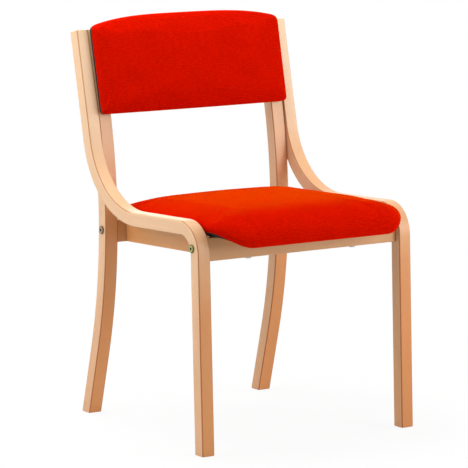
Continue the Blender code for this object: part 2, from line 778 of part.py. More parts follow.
# Frame bolts pull each leg onto the end of its rail through a cross nut
hole = 2 * CLEARANCE
for place_word, along, rail, legs, outer_x, inner_x, nut_side in (
    ("front", front_rail_along, front_rail, hoops, CHAIR_WIDTH / 2, seat_inner, 1),
    ("rear", rear_rail_along, rear_rail, rear_legs, rear_outer(0.0), rear_gap_inner, -1),
):
    rail_tools = []
    for word, side in SIDES:
        label = word + "_" + place_word
        head_at = seat_point(side * (outer_x + CLEARANCE), along, -BOLT_DROP)
        length = outer_x + CLEARANCE - inner_x + BOLT_REACH
        profile = bolt_profile(BOLT_HEAD_DIAMETER, BOLT_HEAD_HEIGHT, BOLT_SHANK_DIAMETER, length)
        bolt = make_object(label + "_frame_bolt", lathe(profile), ZINC, axis_matrix(head_at, (side, 0, 0)))
        socket_at = head_at + Vector((side * (BOLT_HEAD_HEIGHT - SOCKET_DEPTH), 0, 0))
        socket_place = axis_matrix(socket_at, (side, 0, 0))
        cut(bolt, [hex_prism("socket", SOCKET_ACROSS_FLATS, 2 * SOCKET_DEPTH, socket_place)])
        shank_hole = BOLT_SHANK_DIAMETER + 2 * hole
        cut(legs[word], [rod(
            "shank_hole", shank_hole, seat_point(side * (outer_x + hole), along, -BOLT_DROP),
            seat_point(side * (inner_x - hole), along, -BOLT_DROP))])
        nut_x = side * (inner_x - CLEARANCE - NUT_FROM_END)
        face = along + nut_side * RAIL_THICKNESS / 2
        nut_from = seat_point(nut_x, face - nut_side * NUT_LENGTH, -BOLT_DROP)
        nut_to = seat_point(nut_x, face, -BOLT_DROP)
        radius = NUT_DIAMETER / 2
        nut_profile = [
            (0, 0), (radius - NUT_EASE, 0), (radius, NUT_EASE), (radius, NUT_LENGTH - NUT_EASE),
            (radius - NUT_EASE, NUT_LENGTH), (0, NUT_LENGTH),
        ]
        nut_place = axis_matrix(nut_from, nut_to - nut_from)
        nut = make_object(label + "_barrel_nut", lathe(nut_profile), ZINC, nut_place)
        cut(nut, [rod(
            "thread_hole", BOLT_SHANK_DIAMETER + 2 * CLEARANCE,
            seat_point(nut_x + NUT_DIAMETER, along, -BOLT_DROP),
            seat_point(nut_x - NUT_DIAMETER, along, -BOLT_DROP))])
        rail_tools.append(rod(
            "rail_bore", shank_hole, seat_point(side * (inner_x + hole), along, -BOLT_DROP),
            seat_point(side * (inner_x - BOLT_REACH - hole), along, -BOLT_DROP)))
        rail_tools.append(rod(
            "nut_bore", NUT_DIAMETER + 2 * CLEARANCE,
            seat_point(nut_x, face - nut_side * (NUT_LENGTH + CLEARANCE), -BOLT_DROP),
            seat_point(nut_x, face + nut_side * hole, -BOLT_DROP)))
        made += [bolt, nut]
    cut(rail, rail_tools)

# Seat screws come up into the board, in front through the front rail and at the rear through the side rails
bottom = rail_top - RAIL_HEIGHT
down = seat_point(0, 0, -1) - seat_point(0, 0, 0)
for word, side in SIDES:
    for place_word, rail, x, along, sink in (
        ("front", front_rail, side * SEAT_SCREW_SPREAD, front_rail_along, 0.0),
        ("rear", side_rails[word], side * side_x, side_to - SEAT_SCREW_FROM_END, SEAT_SCREW_SINK),
    ):
        seat_level = bottom + sink - CLEARANCE
        head_at = seat_point(x, along, seat_level)
        tip = board_low + SEAT_SCREW_GRIP
        length = tip - seat_level
        profile = bolt_profile(
            SEAT_SCREW_HEAD_DIAMETER, SEAT_SCREW_HEAD_HEIGHT, SEAT_SCREW_SHANK_DIAMETER, length)
        made.append(make_object(
            word + "_" + place_word + "_seat_screw", lathe(profile), STEEL, axis_matrix(head_at, down)))
        bore = SEAT_SCREW_SHANK_DIAMETER + 2 * hole
        cut(rail, [rod(
            "screw_hole", bore, seat_point(x, along, bottom - hole), seat_point(x, along, rail_top + hole))])
        if sink:
            cut(rail, [rod(
                "head_hole", SEAT_SCREW_HEAD_DIAMETER + 2 * hole, seat_point(x, along, bottom - hole),
                seat_point(x, along, bottom + sink))])
        for sheet in (seat_lining, seat_board):
            cut(sheet, [rod(
                "screw_bore", bore, seat_point(x, along, rail_top), seat_point(x, along, tip + hole))])

# Back screws go in from behind, through the uprights and the cover into the board
for word, side in SIDES:
    upright_tools = []
    for level, up in (("lower", BACK_SCREW_FIRST), ("upper", BACK_SCREW_FIRST + BACK_SCREW_SPACING)):
        height = back_point(0, up, -BEND_THICKNESS / 2).z
        x = side * (rear_outer(height) + rear_inner(height)) / 2
        behind = -BEND_THICKNESS - CLEARANCE
        tip = back_low + back_bow(x) + BACK_SCREW_GRIP
        head_at = back_point(x, up, behind)
        profile = bolt_profile(
            BACK_SCREW_HEAD_DIAMETER, BACK_SCREW_HEAD_HEIGHT, BACK_SCREW_SHANK_DIAMETER, tip - behind)
        made.append(make_object(
            word + "_" + level + "_back_screw", lathe(profile), STEEL, axis_matrix(head_at, -FORWARD)))
        bore = BACK_SCREW_SHANK_DIAMETER + 2 * hole
        upright_tools.append(rod(
            "screw_hole", bore, back_point(x, up, behind - hole), back_point(x, up, hole)))
        for sheet in (back_cover, back_board):
            cut(sheet, [rod("screw_bore", bore, back_point(x, up, -hole), back_point(x, up, tip + hole))])
    cut(rear_legs[word], upright_tools)

# Stand the chair on the floor with its footprint centred on the origin
bpy.context.view_layer.update()
corners = [item.matrix_world @ vertex.co for item in made for vertex in item.data.vertices]
front, back = min(spot.y for spot in corners), max(spot.y for spot in corners)
floor = min(spot.z for spot in corners)
chair = bpy.data.objects.new("chair", None)
bpy.context.collection.objects.link(chair)
for item in made:
    item.parent = chair
chair.location = (0.0, -(front + back) / 2, -floor)
bpy.context.view_layer.update()
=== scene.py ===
"""Looks of the conference chair: bent beech, orange-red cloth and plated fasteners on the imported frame."""
import math
from collections import namedtuple

import bpy
import numpy as np
from mathutils import Matrix, Vector


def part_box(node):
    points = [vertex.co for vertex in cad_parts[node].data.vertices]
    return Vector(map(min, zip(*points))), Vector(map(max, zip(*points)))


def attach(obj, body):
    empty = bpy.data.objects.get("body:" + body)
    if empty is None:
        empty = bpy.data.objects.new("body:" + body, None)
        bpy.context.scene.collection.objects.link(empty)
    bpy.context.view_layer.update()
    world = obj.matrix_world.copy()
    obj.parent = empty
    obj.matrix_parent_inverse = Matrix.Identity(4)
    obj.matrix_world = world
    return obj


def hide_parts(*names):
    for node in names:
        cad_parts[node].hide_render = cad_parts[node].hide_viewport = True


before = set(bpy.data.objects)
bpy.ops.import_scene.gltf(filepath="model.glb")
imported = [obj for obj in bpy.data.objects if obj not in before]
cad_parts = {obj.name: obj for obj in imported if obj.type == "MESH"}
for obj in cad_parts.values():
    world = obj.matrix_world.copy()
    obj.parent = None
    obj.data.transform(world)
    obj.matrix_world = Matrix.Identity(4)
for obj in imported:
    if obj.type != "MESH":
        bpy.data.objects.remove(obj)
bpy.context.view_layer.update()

QUARTER_TURN = math.radians(90.0)
TINY = 1e-9

# Bent members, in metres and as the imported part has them
CHAIR_WIDTH = 0.512
HOOP_WIDTH = 0.0285
HOOP_TOP_WIDTH = 0.0255
HOOP_TOP_HEIGHT = 0.800
TAPER_LENGTH = 0.180
BEND_THICKNESS = 0.0282
BEND_LAYERS = 12
REAR_LEG_WIDTH = 0.0300
REAR_LEG_SETBACK = 0.0025
EDGE_ROUND = 0.0026
END_CHAMFER = 0.0010
SEAT_RUN_HEIGHT = 0.4454
SEAT_TILT = math.radians(2.2)
SEAT_RUN = 0.3675
FRONT_BEND_RADIUS = 0.0508
BACK_BEND_RADIUS = 0.1785
BACK_RECLINE = math.radians(12.63)
REAR_STRAIGHT_LENGTH = 0.166
REAR_LEG_RADIUS = 1.054
REAR_LEG_SPLAY = math.radians(14.83)
CLEARANCE = 0.0003
RING_STEP = 0.004
LINE_STEPS = 16
ARRIS_STEPS = 6
ARRIS_SUPPORT = 0.0005
LEVEL_HEADING = math.radians(92.0)
LEVEL_FADE = math.radians(10.0)
FIGURE_SHIFT = 1.7

# Light and tone of each bent member: heights between which its flat faces turn paler with painted light from
# above, heights between which its inner side takes painted shade, and how far it is darker and browner low
# down
MEMBER_LIGHT_AND_TONE = {
    "left_hoop": ((0.28, 0.64), (0.28, 0.50), 0.0),
    "right_hoop": ((0.34, 0.66), (0.28, 0.50), 1.0),
    "left_leg": ((0.36, 0.78), (-0.25, 0.50), 0.0),
    "right_leg": ((0.36, 0.78), (-0.25, 0.50), 0.4),
}

# Rails, which place the seat
RAIL_THICKNESS = 0.020
RAIL_HEIGHT = 0.046
RAIL_DROP = 0.0190
FRONT_RAIL_SETBACK = 0.0115

# Seat
SEAT_BOARD_THICKNESS = 0.0110
SEAT_BOARD_LAYERS = 7
SEAT_BOARD_INSET = 0.0120
SEAT_SIDE_GAP = 0.0045
SEAT_OVERHANG = 0.0542
SEAT_REAR_GAP = 0.0125
SEAT_BOARD_CORNER = 0.064
SEAT_LEAST_CORNER = 0.006
SEAT_CORNER_DRAW = 0.6
LIP_LENGTH = 0.060
LIP_RADIUS = 0.079
LIP_LIMIT = 0.98
LIP_EASE = 0.0009
PAD_SKIRT = 0.0035
PAD_LIP_SKIRT = 0.0082
PAD_TUCK = 0.0020
NOSE_LENGTH = 0.145
NOSE_THINNING = 0.42
WRAP_SHARES = (0.08, 0.3, 0.55, 0.8, 0.95, 1.0)
HEM_WIDTH = 0.0085
HEM_THICKNESS = 0.0009
HEM_GAP = 0.0006
HEM_ROUND = 0.0003
HEM_FOLD = 0.0006
HEM_LIFT = 0.0002
HEM_RETURN = 0.0008

# Lining and staples
LINING_THICKNESS = 0.0010
LINING_INSET = 0.010
LINING_SAG = 0.0030
SAG_POWER = 4
LINING_PUCKER = 0.0006
STAPLE_INSET = 0.0055
STAPLE_COUNT = 8
STAPLE_WIDTH = 0.0100
STAPLE_WIRE = 0.0007
STAPLE_LEG = 3 * STAPLE_WIRE
STAPLE_TURN = math.radians(9.0)
STAPLE_WANDER = 0.04
STAPLE_BEATS = (5.0, 3.0, 4.0)
STAPLE_SIDES = 8
STAPLE_BEND_STEPS = 4

# Back
BACK_SIDE_GAP = 0.0020
BACK_HALF_WIDTH = CHAIR_WIDTH / 2 - HOOP_WIDTH - BACK_SIDE_GAP
BACK_DROP = 0.1715
BACK_HEIGHT = 0.1805
BACK_LOW_EDGE = 0.0015
BACK_ARCH = 0.0195
ARCH_POWER = 3.3
BACK_EDGE_SHARE = 0.32
BACK_HOLLOW = 0.0080
BACK_COVER_THICKNESS = 0.0022
BACK_COVER_INSET = 0.0060
BACK_COVER_BELLY = 0.0030
BACK_BOARD_THICKNESS = 0.0080
BACK_BOARD_INSET = 0.0050
BACK_TURN_INSETS = (0.0016, 0.0030, 0.0040)
BACK_TURN_LIFT = 0.0006

# Edge profile that both pads share, and their swell
SHOULDER_TURN = math.radians(81.0)
SHOULDER_STEPS = 64
CROWN_POWER = 2.2
SHOULDER_SHARE = 0.62
WALL_SHARE = 0.86
EDGE_CLOTH = 0.004
PAD_CELLS = 88
HOLD_START = 0.10
HOLD_END = 0.06
HOLD_LEVELS = 10
SWELL_FRAMES = 20

# Beech: shares of its marks, heights of the sides' painted light from above, and where the low darkening ends
STREAK_SHARE = 0.55
FLECK_SHARE = 0.45
BEND_LAYER_SHARE = 0.22
PLY_LAYER_SHARE = 0.6
SIDE_PAINTED_LIGHT = (0.15, 0.55)
LOW_DARKENING_FADE = (0.28, 0.42)
LACQUER = {"Coat_Weight": 0.15, "Coat_Roughness": 0.25}

# Cloth and plating: pitches in metres, shares of the yarns, ranges of roughness, and shares of a bolt head
YARN_PITCH = 0.0011
RIB_PITCH = 0.0040
RIB_SHARE = 0.06
YARN_SHARE = 0.75
ZINC_ROUGH = (0.26, 0.40)
HEAD_RIM = (0.66, 0.86)
HEAD_SOCKET = (0.42, 0.30)

# Linear colours; a pair is the two tones between which a pattern varies. Each of the bent members' tones has
# its flat face low and high on the chair, then its side low and high; the high ones are paler, painted light
# from above
WHITE = (1.0, 1.0, 1.0)
BENT_TONES = (
    ((0.665, 0.276, 0.083), (0.81, 0.60, 0.38), (0.76, 0.44, 0.235), (0.86, 0.58, 0.36)),
    ((0.580, 0.225, 0.060), (0.73, 0.51, 0.29), (0.66, 0.35, 0.17), (0.78, 0.50, 0.29)))
LIGHT_YARN = ((0.67, 0.0050, 0.0002), (0.59, 0.0036, 0.0002))
DEEP_YARN = ((0.47, 0.0020, 0.0001), (0.41, 0.0014, 0.0001))
# Painted shade in the hollows between yarns
VALLEY_SHADE = (0.30, 0.0012, 0.0001)
NAP_ORANGE = (0.68, 0.0230, 0.0003)
BLOOM_ORANGE = (1.0, 0.38, 0.0)
FELT_BLACK = ((0.008, 0.008, 0.008), (0.035, 0.034, 0.033))
# Painted shade in a bolt's socket
SOCKET_SHADE = (0.004, 0.004, 0.003)
FLOOR_PAINT = ((0.80, 0.80, 0.80), (0.82, 0.82, 0.82))

# Colours that others are multiplied by
# Painted shade on the bent members' inner sides
INNER_SHADE = (0.72, 0.68, 0.61)
# Darkens and browns the right members low down
LOW_DARKENING = (0.96, 0.87, 0.72)
# Painted shade along the arrises
ARRIS_SHADE = (0.64, 0.42, 0.24)
LAYER_BROWN = (0.80, 0.74, 0.68)
GLUE_BROWN = (0.66, 0.56, 0.46)
FLECK_BROWN = (0.62, 0.46, 0.34)
# Painted shade round the rim of a bolt head
RIM_SHADE = (0.30, 0.26, 0.20)

# Floor, surroundings and lamps: a lamp has a place, a point that it faces, its width, height and power
FLOOR_SIZE = 40.0
FLOOR_DROP = 0.0005
FLOOR_FADE = (0.35, 1.1)
FLOOR_WHITE = (0.90, 1.0)
WORLD_LIGHT = (0.38, 1.0)
LAMPS = {
    "top_light": ((-0.3, 0.25, 1.7), (0.0, 0.0, 0.5), 0.9, 0.9, 19.0),
    "left_light": ((-2.0, 0.2, 1.25), (0.0, 0.0, 0.55), 1.3, 1.3, 16.0),
    "right_light": ((1.2, -1.6, 0.85), (0.0, -0.1, 0.45), 1.0, 1.1, 18.5),
    "right_rim": ((2.1, -0.4, 0.85), (0.0, 0.0, 0.5), 1.2, 1.2, 21.0),
    "backdrop_light": ((0.7, 2.6, 1.0), (0.0, 0.0, 0.5), 2.4, 1.6, 24.0),
}

# Camera, read off the photograph's edges
CAMERA_AZIMUTH = math.radians(-33.613)
CAMERA_ELEVATION = math.radians(8.843)
CAMERA_DISTANCE = 6.4151
CAMERA_TARGET = (0.0038, 0.04704, 0.3822)
CAMERA_LENS = 240.915


# Small formulas


def risen(value, low, high):
    """How far a value has come from low to high, from 0 to 1."""
    return np.clip((value - low) / (high - low), 0.0, 1.0)


def dome(value, power):
    """1 at the middle, falling to 0 at 1 and -1 as an even power."""
    return np.clip(1.0 - np.abs(value) ** power, 0.0, 1.0)


def running_sum(steps):
    """Sums of the steps so far, from zero."""
    return np.concatenate((np.zeros((1, *steps.shape[1:])), np.cumsum(steps, 0)))


# Side view frames


def heading_vector(heading):
    """(y, z) of a direction in the side view, from straight up at 0 towards the back."""
    return np.stack((np.sin(heading), np.cos(heading)), -1)


def seat_yz(along, up):
    """(y, z) of a place in the tilted seat frame, along it from the front legs and square to it."""
    c, s = math.cos(SEAT_TILT), math.sin(SEAT_TILT)
    return np.stack((FRAME_Y + along * c + up * s, SEAT_RUN_HEIGHT - along * s + up * c), -1)


leg_front = -BEND_THICKNESS / 2
front_rail_along = leg_front + FRONT_RAIL_SETBACK + RAIL_THICKNESS / 2
rail_up = -RAIL_DROP - RAIL_HEIGHT / 2
rail_y = (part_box("front_rail")[0][1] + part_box("front_rail")[1][1]) / 2
FRAME_Y = rail_y - front_rail_along * math.cos(SEAT_TILT) - rail_up * math.sin(SEAT_TILT)
BACK_CORNER = seat_yz(SEAT_RUN, 0.0)
UPRIGHT = heading_vector(BACK_RECLINE)
FORWARD = np.array((-math.cos(BACK_RECLINE), math.sin(BACK_RECLINE)))


def upright_yz(height):
    """(y, z) of the uprights' centre line at a height."""
    return BACK_CORNER + UPRIGHT * ((height - BACK_CORNER[1]) / UPRIGHT[1])


def hoop_faces(height):
    """Distances of a hoop's outer and inner face from the middle; it tapers towards its top."""
    share = risen(height, HOOP_TOP_HEIGHT - TAPER_LENGTH, HOOP_TOP_HEIGHT)
    return CHAIR_WIDTH / 2, CHAIR_WIDTH / 2 - (HOOP_WIDTH + (HOOP_TOP_WIDTH - HOOP_WIDTH) * share)


def leg_faces(height):
    """Distances of a rear leg's outer and inner face from the middle, just inside the hoop."""
    outer = hoop_faces(height)[1] - CLEARANCE
    return outer, outer - REAR_LEG_WIDTH


# Objects and meshes from arrays


def linked(name, data):
    """A new object in the scene."""
    item = bpy.data.objects.new(name, data)
    bpy.context.scene.collection.objects.link(item)
    return item


def grid_quads(rows, columns, wrap):
    """Quads between neighbouring rows and columns of points that are numbered row by row."""
    count = columns if wrap else columns - 1
    i, j = np.meshgrid(np.arange(rows - 1), np.arange(count), indexing="ij")
    near = i * columns + j
    far = i * columns + (j + 1) % columns
    return np.stack((near, far, far + columns, near + columns), -1).reshape(-1, 4)


def signed_volume(points, quads):
    """Sum of the tetrahedra from the origin to the faces, negative if they point in."""
    a, b, c, d = (points[quads[:, k]] for k in range(4))
    return float(np.sum(np.cross(a, b) * c) + np.sum(np.cross(a, c) * d)) / 6.0


def make_piece(name, points, quads, caps, materials, attributes, sharp=math.radians(35.0), index=None):
    """A mesh object at the origin from points, quads and end polygons, faces turned outwards."""
    points = np.asarray(points, dtype=np.float64).reshape(-1, 3)
    faces = quads.tolist() + [list(map(int, cap)) for cap in caps]
    if signed_volume(points - points.mean(0), quads) < 0.0:
        faces = [face[::-1] for face in faces]
    mesh = bpy.data.meshes.new(name)
    mesh.from_pydata(points.tolist(), [], faces)
    for key, values in attributes.items():
        values = np.asarray(values, dtype=np.float32)
        kind, field = ("FLOAT_VECTOR", "vector") if values.ndim > 1 else ("FLOAT", "value")
        mesh.attributes.new(key, kind, "POINT").data.foreach_set(field, values.reshape(-1))
    for material in materials:
        mesh.materials.append(material)
    if index is not None:
        mesh.polygons.foreach_set("material_index", np.asarray(index, dtype=np.int32))
    mesh.shade_smooth()
    mesh.set_sharp_from_angle(angle=sharp)
    mesh.update()
    return linked(name, mesh)


# Shader nodes


def feed(tree, item, inputs):
    """Give inputs plain values, colours without alpha, or other nodes' outputs."""
    for key, value in inputs.items():
        socket = item.inputs[key]
        if isinstance(value, bpy.types.NodeSocket):
            tree.links.new(value, socket)
        elif socket.type == "RGBA":
            socket.default_value = (*value, 1.0)
        else:
            socket.default_value = value


def node(tree, kind, inputs=None, **settings):
    """A node with its settings and inputs."""
    item = tree.nodes.new("ShaderNode" + kind)
    for key, value in settings.items():
        setattr(item, key, value)
    feed(tree, item, inputs or {})
    return item


def sums(tree, operation, *values):
    """Result of a Math node."""
    return node(tree, "Math", dict(enumerate(values)), operation=operation).outputs[0]


def vectors(tree, operation, *values, result="Vector"):
    """Result of a Vector Math node."""
    return node(tree, "VectorMath", dict(enumerate(values)), operation=operation).outputs[result]


def axis(tree, vector, number):
    """One coordinate of a vector."""
    return node(tree, "SeparateXYZ", {0: vector}).outputs[number]


def object_place(tree):
    """Place on the object."""
    return node(tree, "TexCoord").outputs["Object"]


def own(tree, name, output="Fac"):
    """What the mesh carries in an attribute of its own."""
    return node(tree, "Attribute", attribute_name=name).outputs[output]


def noise(tree, vector, waves, detail=2.0, roughness=0.5):
    """Noise with so many waves to a unit along each axis."""
    spread = node(tree, "Mapping", {"Vector": vector, "Scale": waves}).outputs[0]
    inputs = {"Vector": spread, "Scale": 1.0, "Detail": detail, "Roughness": roughness}
    return node(tree, "TexNoise", inputs).outputs[0]


def ranged(tree, value, low, high, to_low=0.0, to_high=1.0):
    """A value carried from one range to another and held inside it."""
    inputs = {"Value": value, "From Min": low, "From Max": high, "To Min": to_low, "To Max": to_high}
    return node(tree, "MapRange", inputs).outputs[0]


def mixed(tree, factor, a, b, blend="MIX"):
    """Colour between a and b."""
    inputs = {0: factor, 6: a, 7: b}
    return node(tree, "Mix", inputs, data_type="RGBA", blend_type=blend, clamp_factor=True).outputs[2]


def toned(tree, factor, colour, by):
    """A colour multiplied by another as far as the factor says."""
    return mixed(tree, factor, colour, by, "MULTIPLY")


def seen_rays(tree):
    """1 for rays that look at a surface, also by gloss or glass, 0 for those that take its light."""
    path = node(tree, "LightPath").outputs
    seen = sums(tree, "MAXIMUM", path["Is Camera Ray"], path["Is Glossy Ray"])
    return sums(tree, "MAXIMUM", seen, path["Is Transmission Ray"])


def new_group(name, number):
    """An empty node group, with the sockets of the vector and the number that it takes."""
    group = bpy.data.node_groups.new(name, "ShaderNodeTree")
    group.interface.new_socket(name="Vector", in_out="INPUT", socket_type="NodeSocketVector")
    group.interface.new_socket(name=number, in_out="INPUT", socket_type="NodeSocketFloat")
    entry = group.nodes.new("NodeGroupInput").outputs
    return group, entry["Vector"], entry[number]


def put_out(group, **values):
    """Give a group its outputs."""
    for title in values:
        group.interface.new_socket(name=title, in_out="OUTPUT", socket_type="NodeSocketFloat")
    feed(group, group.nodes.new("NodeGroupOutput"), values)


def placed(tree, group, inputs):
    """Outputs of a group inside a material, with its own values."""
    item = tree.nodes.new("ShaderNodeGroup")
    item.node_tree = group
    feed(tree, item, inputs)
    return item.outputs


def new_material(name, **sockets):
    """A material and its Principled shader, with uniform values set directly."""
    material = bpy.data.materials.new(name)
    material.use_nodes = True
    tree = material.node_tree
    shader = tree.nodes["Principled BSDF"]
    feed(tree, shader, {key.replace("_", " "): value for key, value in sockets.items()})
    return material, tree, shader


def surfaced(tree, shader, colour, rough, height, strength, distance):
    """Give a Principled shader its colour, roughness and relief."""
    bump = node(tree, "Bump", {"Strength": strength, "Distance": distance, "Height": height})
    feed(tree, shader, {"Base Color": colour, "Roughness": rough, "Normal": bump.outputs[0]})


def figure_group():
    """Beech figure in metres: X along the grain, Y across it, Z through the layers.

    Streak is a slow change along the board, Fleck the short dark rays, Layer the tone of each veneer, Glue
    the line between two veneers, and Height the relief of the pores.
    """
    group, vector, pitch = new_group("beech_figure", "Layer Pitch")
    broad = noise(group, vector, waves=(5.0, 42.0, 42.0), detail=3.0)
    fine = noise(group, vector, waves=(14.0, 420.0, 420.0))
    streak = sums(group, "MULTIPLY_ADD", fine, 0.35, sums(group, "MULTIPLY", broad, 0.65))
    fleck = ranged(group, noise(group, vector, waves=(330.0, 1900.0, 1900.0), detail=1.0), 0.60, 0.72)
    count = sums(group, "ADD", sums(group, "DIVIDE", axis(group, vector, 2), pitch), 0.5)
    layer = node(group, "TexWhiteNoise", {"W": sums(group, "FLOOR", count)}, noise_dimensions="1D").outputs[0]
    offset = sums(group, "ABSOLUTE", sums(group, "SUBTRACT", sums(group, "FRACT", count), 0.5))
    glue = ranged(group, offset, 0.44, 0.49)
    pores = noise(group, vector, waves=(120.0, 2600.0, 2600.0), detail=1.0)
    height = sums(group, "SUBTRACT", pores, sums(group, "MULTIPLY", fleck, 0.5))
    put_out(group, Streak=streak, Fleck=fleck, Layer=layer, Glue=glue, Height=height)
    return group


def weave_group():
    """Crepe weave on cloth coordinates in metres, weft along X.

    Each yarn is a half wave across its pitch; warp and weft take turns on top. Height is the upper yarn, Yarn
    the tone of the weft with a wandering rib, Nap the uneven dye and Brush the broad lie of the pile.
    """
    group, vector, pitch = new_group("crepe_weave", "Pitch")
    wobble = noise(group, vector, waves=(160.0, 160.0, 160.0), detail=1.0)
    along = axis(group, vector, 1)
    waves, cells = [], []
    for spot in (axis(group, vector, 0), along):
        count = sums(group, "ADD", sums(group, "DIVIDE", spot, pitch), wobble)
        waves.append(sums(group, "ABSOLUTE", sums(group, "SINE", sums(group, "MULTIPLY", count, math.pi))))
        cells.append(sums(group, "FLOOR", count))
    turn = sums(group, "PINGPONG", sums(group, "ADD", *cells), 1.0)
    warp_up = sums(group, "MULTIPLY", waves[0], sums(group, "MULTIPLY_ADD", turn, 0.5, 0.5))
    weft_up = sums(group, "MULTIPLY", waves[1], sums(group, "MULTIPLY_ADD", turn, -0.4, 1.0))
    height = sums(group, "MAXIMUM", warp_up, weft_up)
    rows = noise(group, vector, waves=(95.0, 480.0, 95.0), detail=2.0, roughness=0.6)
    wander = noise(group, vector, waves=(45.0, 90.0, 45.0), detail=1.0)
    beat = sums(group, "ADD", sums(group, "DIVIDE", along, RIB_PITCH), wander)
    rib = sums(group, "MULTIPLY", sums(group, "SINE", sums(group, "MULTIPLY", beat, 2 * math.pi)), RIB_SHARE)
    nap = noise(group, vector, waves=(300.0, 650.0, 300.0), detail=2.0, roughness=0.7)
    brush = noise(group, vector, waves=(16.0, 26.0, 16.0))
    put_out(group, Height=height, Yarn=sums(group, "ADD", rows, rib), Nap=nap, Brush=brush)
    return group


BEECH_FIGURE = figure_group()
CREPE_WEAVE = weave_group()


def beech_surface(tree, shader, vector, layer_pitch, tones, layer_share, arris=0.0):
    """Colour, roughness and relief of beech from the figure group."""
    figure = placed(tree, BEECH_FIGURE, {"Vector": vector, "Layer Pitch": layer_pitch})
    streak = ranged(tree, figure["Streak"], 0.30, 0.70)
    colour = mixed(tree, sums(tree, "MULTIPLY", streak, STREAK_SHARE), *tones)
    layer = ranged(tree, figure["Layer"], 0.0, 1.0, 0.0, layer_share)
    colour = toned(tree, layer, colour, LAYER_BROWN)
    colour = toned(tree, sums(tree, "MULTIPLY", figure["Glue"], layer_share), colour, GLUE_BROWN)
    colour = toned(tree, sums(tree, "MULTIPLY", figure["Fleck"], FLECK_SHARE), colour, FLECK_BROWN)
    rough = ranged(tree, figure["Streak"], 0.25, 0.75, 0.40, 0.52)
    # Painted shade along the arrises
    colour = toned(tree, arris, colour, ARRIS_SHADE)
    surfaced(tree, shader, colour, rough, figure["Height"], strength=0.12, distance=0.0003)


def bent_beech():
    """Laminated beech: faces and sides turn paler with height, painted light from above; inner sides and
    arrises are darker, painted shade.
    """
    material, tree, shader = new_material("bent_beech", **LACQUER)
    normal = axis(tree, node(tree, "NewGeometry").outputs["Normal"], 0)
    edge = ranged(tree, sums(tree, "ABSOLUTE", normal), 0.55, 0.95)
    height = axis(tree, object_place(tree), 2)
    # Faces and sides turn paler higher up: painted light from above
    side_painted_light = ranged(tree, height, *SIDE_PAINTED_LIGHT)
    painted_light, inner_shade = own(tree, "painted_light"), own(tree, "inner_shade")
    # Darker and browner low down, as far as the member's tone says
    low_darkening = sums(tree, "MULTIPLY", own(tree, "tone"), ranged(tree, height, *LOW_DARKENING_FADE, 1.0, 0.0))
    tones = []
    for low_face, painted_lit_face, low_side, painted_lit_side in BENT_TONES:
        face = mixed(tree, painted_light, low_face, painted_lit_face)
        side = toned(tree, inner_shade, mixed(tree, side_painted_light, low_side, painted_lit_side), INNER_SHADE)
        tones.append(toned(tree, low_darkening, mixed(tree, edge, face, side), LOW_DARKENING))
    unbent = own(tree, "unbent", "Vector")
    arris = ranged(tree, own(tree, "arris"), 0.15, 0.85)
    beech_surface(tree, shader, unbent, BEND_THICKNESS / BEND_LAYERS, tones, BEND_LAYER_SHARE, arris)
    return material


def board_wood(name, tones, turn, pitch, layer_share, **finish):
    """Wood of a straight piece, its grain turned from the X axis and its layers level."""
    material, tree, shader = new_material(name, **finish)
    along = node(tree, "Mapping", {"Vector": object_place(tree), "Rotation": (0.0, 0.0, turn)}).outputs[0]
    beech_surface(tree, shader, along, pitch, tones, layer_share)
    return material


def wool_fabric():
    """Orange-red crepe upholstery with a soft orange bloom where it turns away."""
    material, tree, shader = new_material(
        "orange_red_crepe", Sheen_Weight=0.37, Sheen_Roughness=0.19, Sheen_Tint=BLOOM_ORANGE,
        Specular_IOR_Level=0.0)
    weave = placed(tree, CREPE_WEAVE, {"Vector": own(tree, "cloth", "Vector"), "Pitch": YARN_PITCH})
    brush = ranged(tree, weave["Brush"], 0.30, 0.70)
    light, deep = mixed(tree, brush, *LIGHT_YARN), mixed(tree, brush, *DEEP_YARN)
    yarn = ranged(tree, weave["Yarn"], 0.38, 0.62)
    colour = mixed(tree, sums(tree, "MULTIPLY", yarn, YARN_SHARE), light, deep)
    # Painted shade in the hollows between yarns
    valley_shade = ranged(tree, weave["Height"], 0.15, 0.75, 0.55, 0.0)
    colour = mixed(tree, valley_shade, colour, VALLEY_SHADE)
    nap = ranged(tree, weave["Nap"], 0.48, 0.74, 0.0, 0.6)
    colour = mixed(tree, nap, colour, NAP_ORANGE)
    rough = ranged(tree, weave["Height"], 0.0, 1.0, 0.98, 0.82)
    surfaced(tree, shader, colour, rough, weave["Height"], strength=0.55, distance=0.0004)
    return material


def felt_lining():
    """Black spun lining with a faint fibre."""
    material, tree, shader = new_material("black_lining", Specular_IOR_Level=0.2)
    fibre = noise(tree, object_place(tree), waves=(700.0, 700.0, 700.0), detail=3.0, roughness=0.7)
    colour, rough = mixed(tree, fibre, *FELT_BLACK), ranged(tree, fibre, 0.2, 0.8, 0.88, 0.98)
    surfaced(tree, shader, colour, rough, fibre, strength=0.4, distance=0.0003)
    return material


def plating(tree, shader, tones, rough):
    """Colour of a mottled, finely brushed plating, which also sets the roughness."""
    place = object_place(tree)
    fine = noise(tree, place, waves=(1800.0, 1800.0, 1800.0), detail=1.0)
    feed(tree, shader, {"Roughness": ranged(tree, fine, 0.2, 0.8, *rough)})
    return mixed(tree, noise(tree, place, waves=(260.0, 260.0, 260.0), detail=3.0), *tones)


def plated(name, tones, rough):
    """Plated steel."""
    material, tree, shader = new_material(name, Metallic=1.0)
    feed(tree, shader, {"Base Color": plating(tree, shader, tones, rough)})
    return material


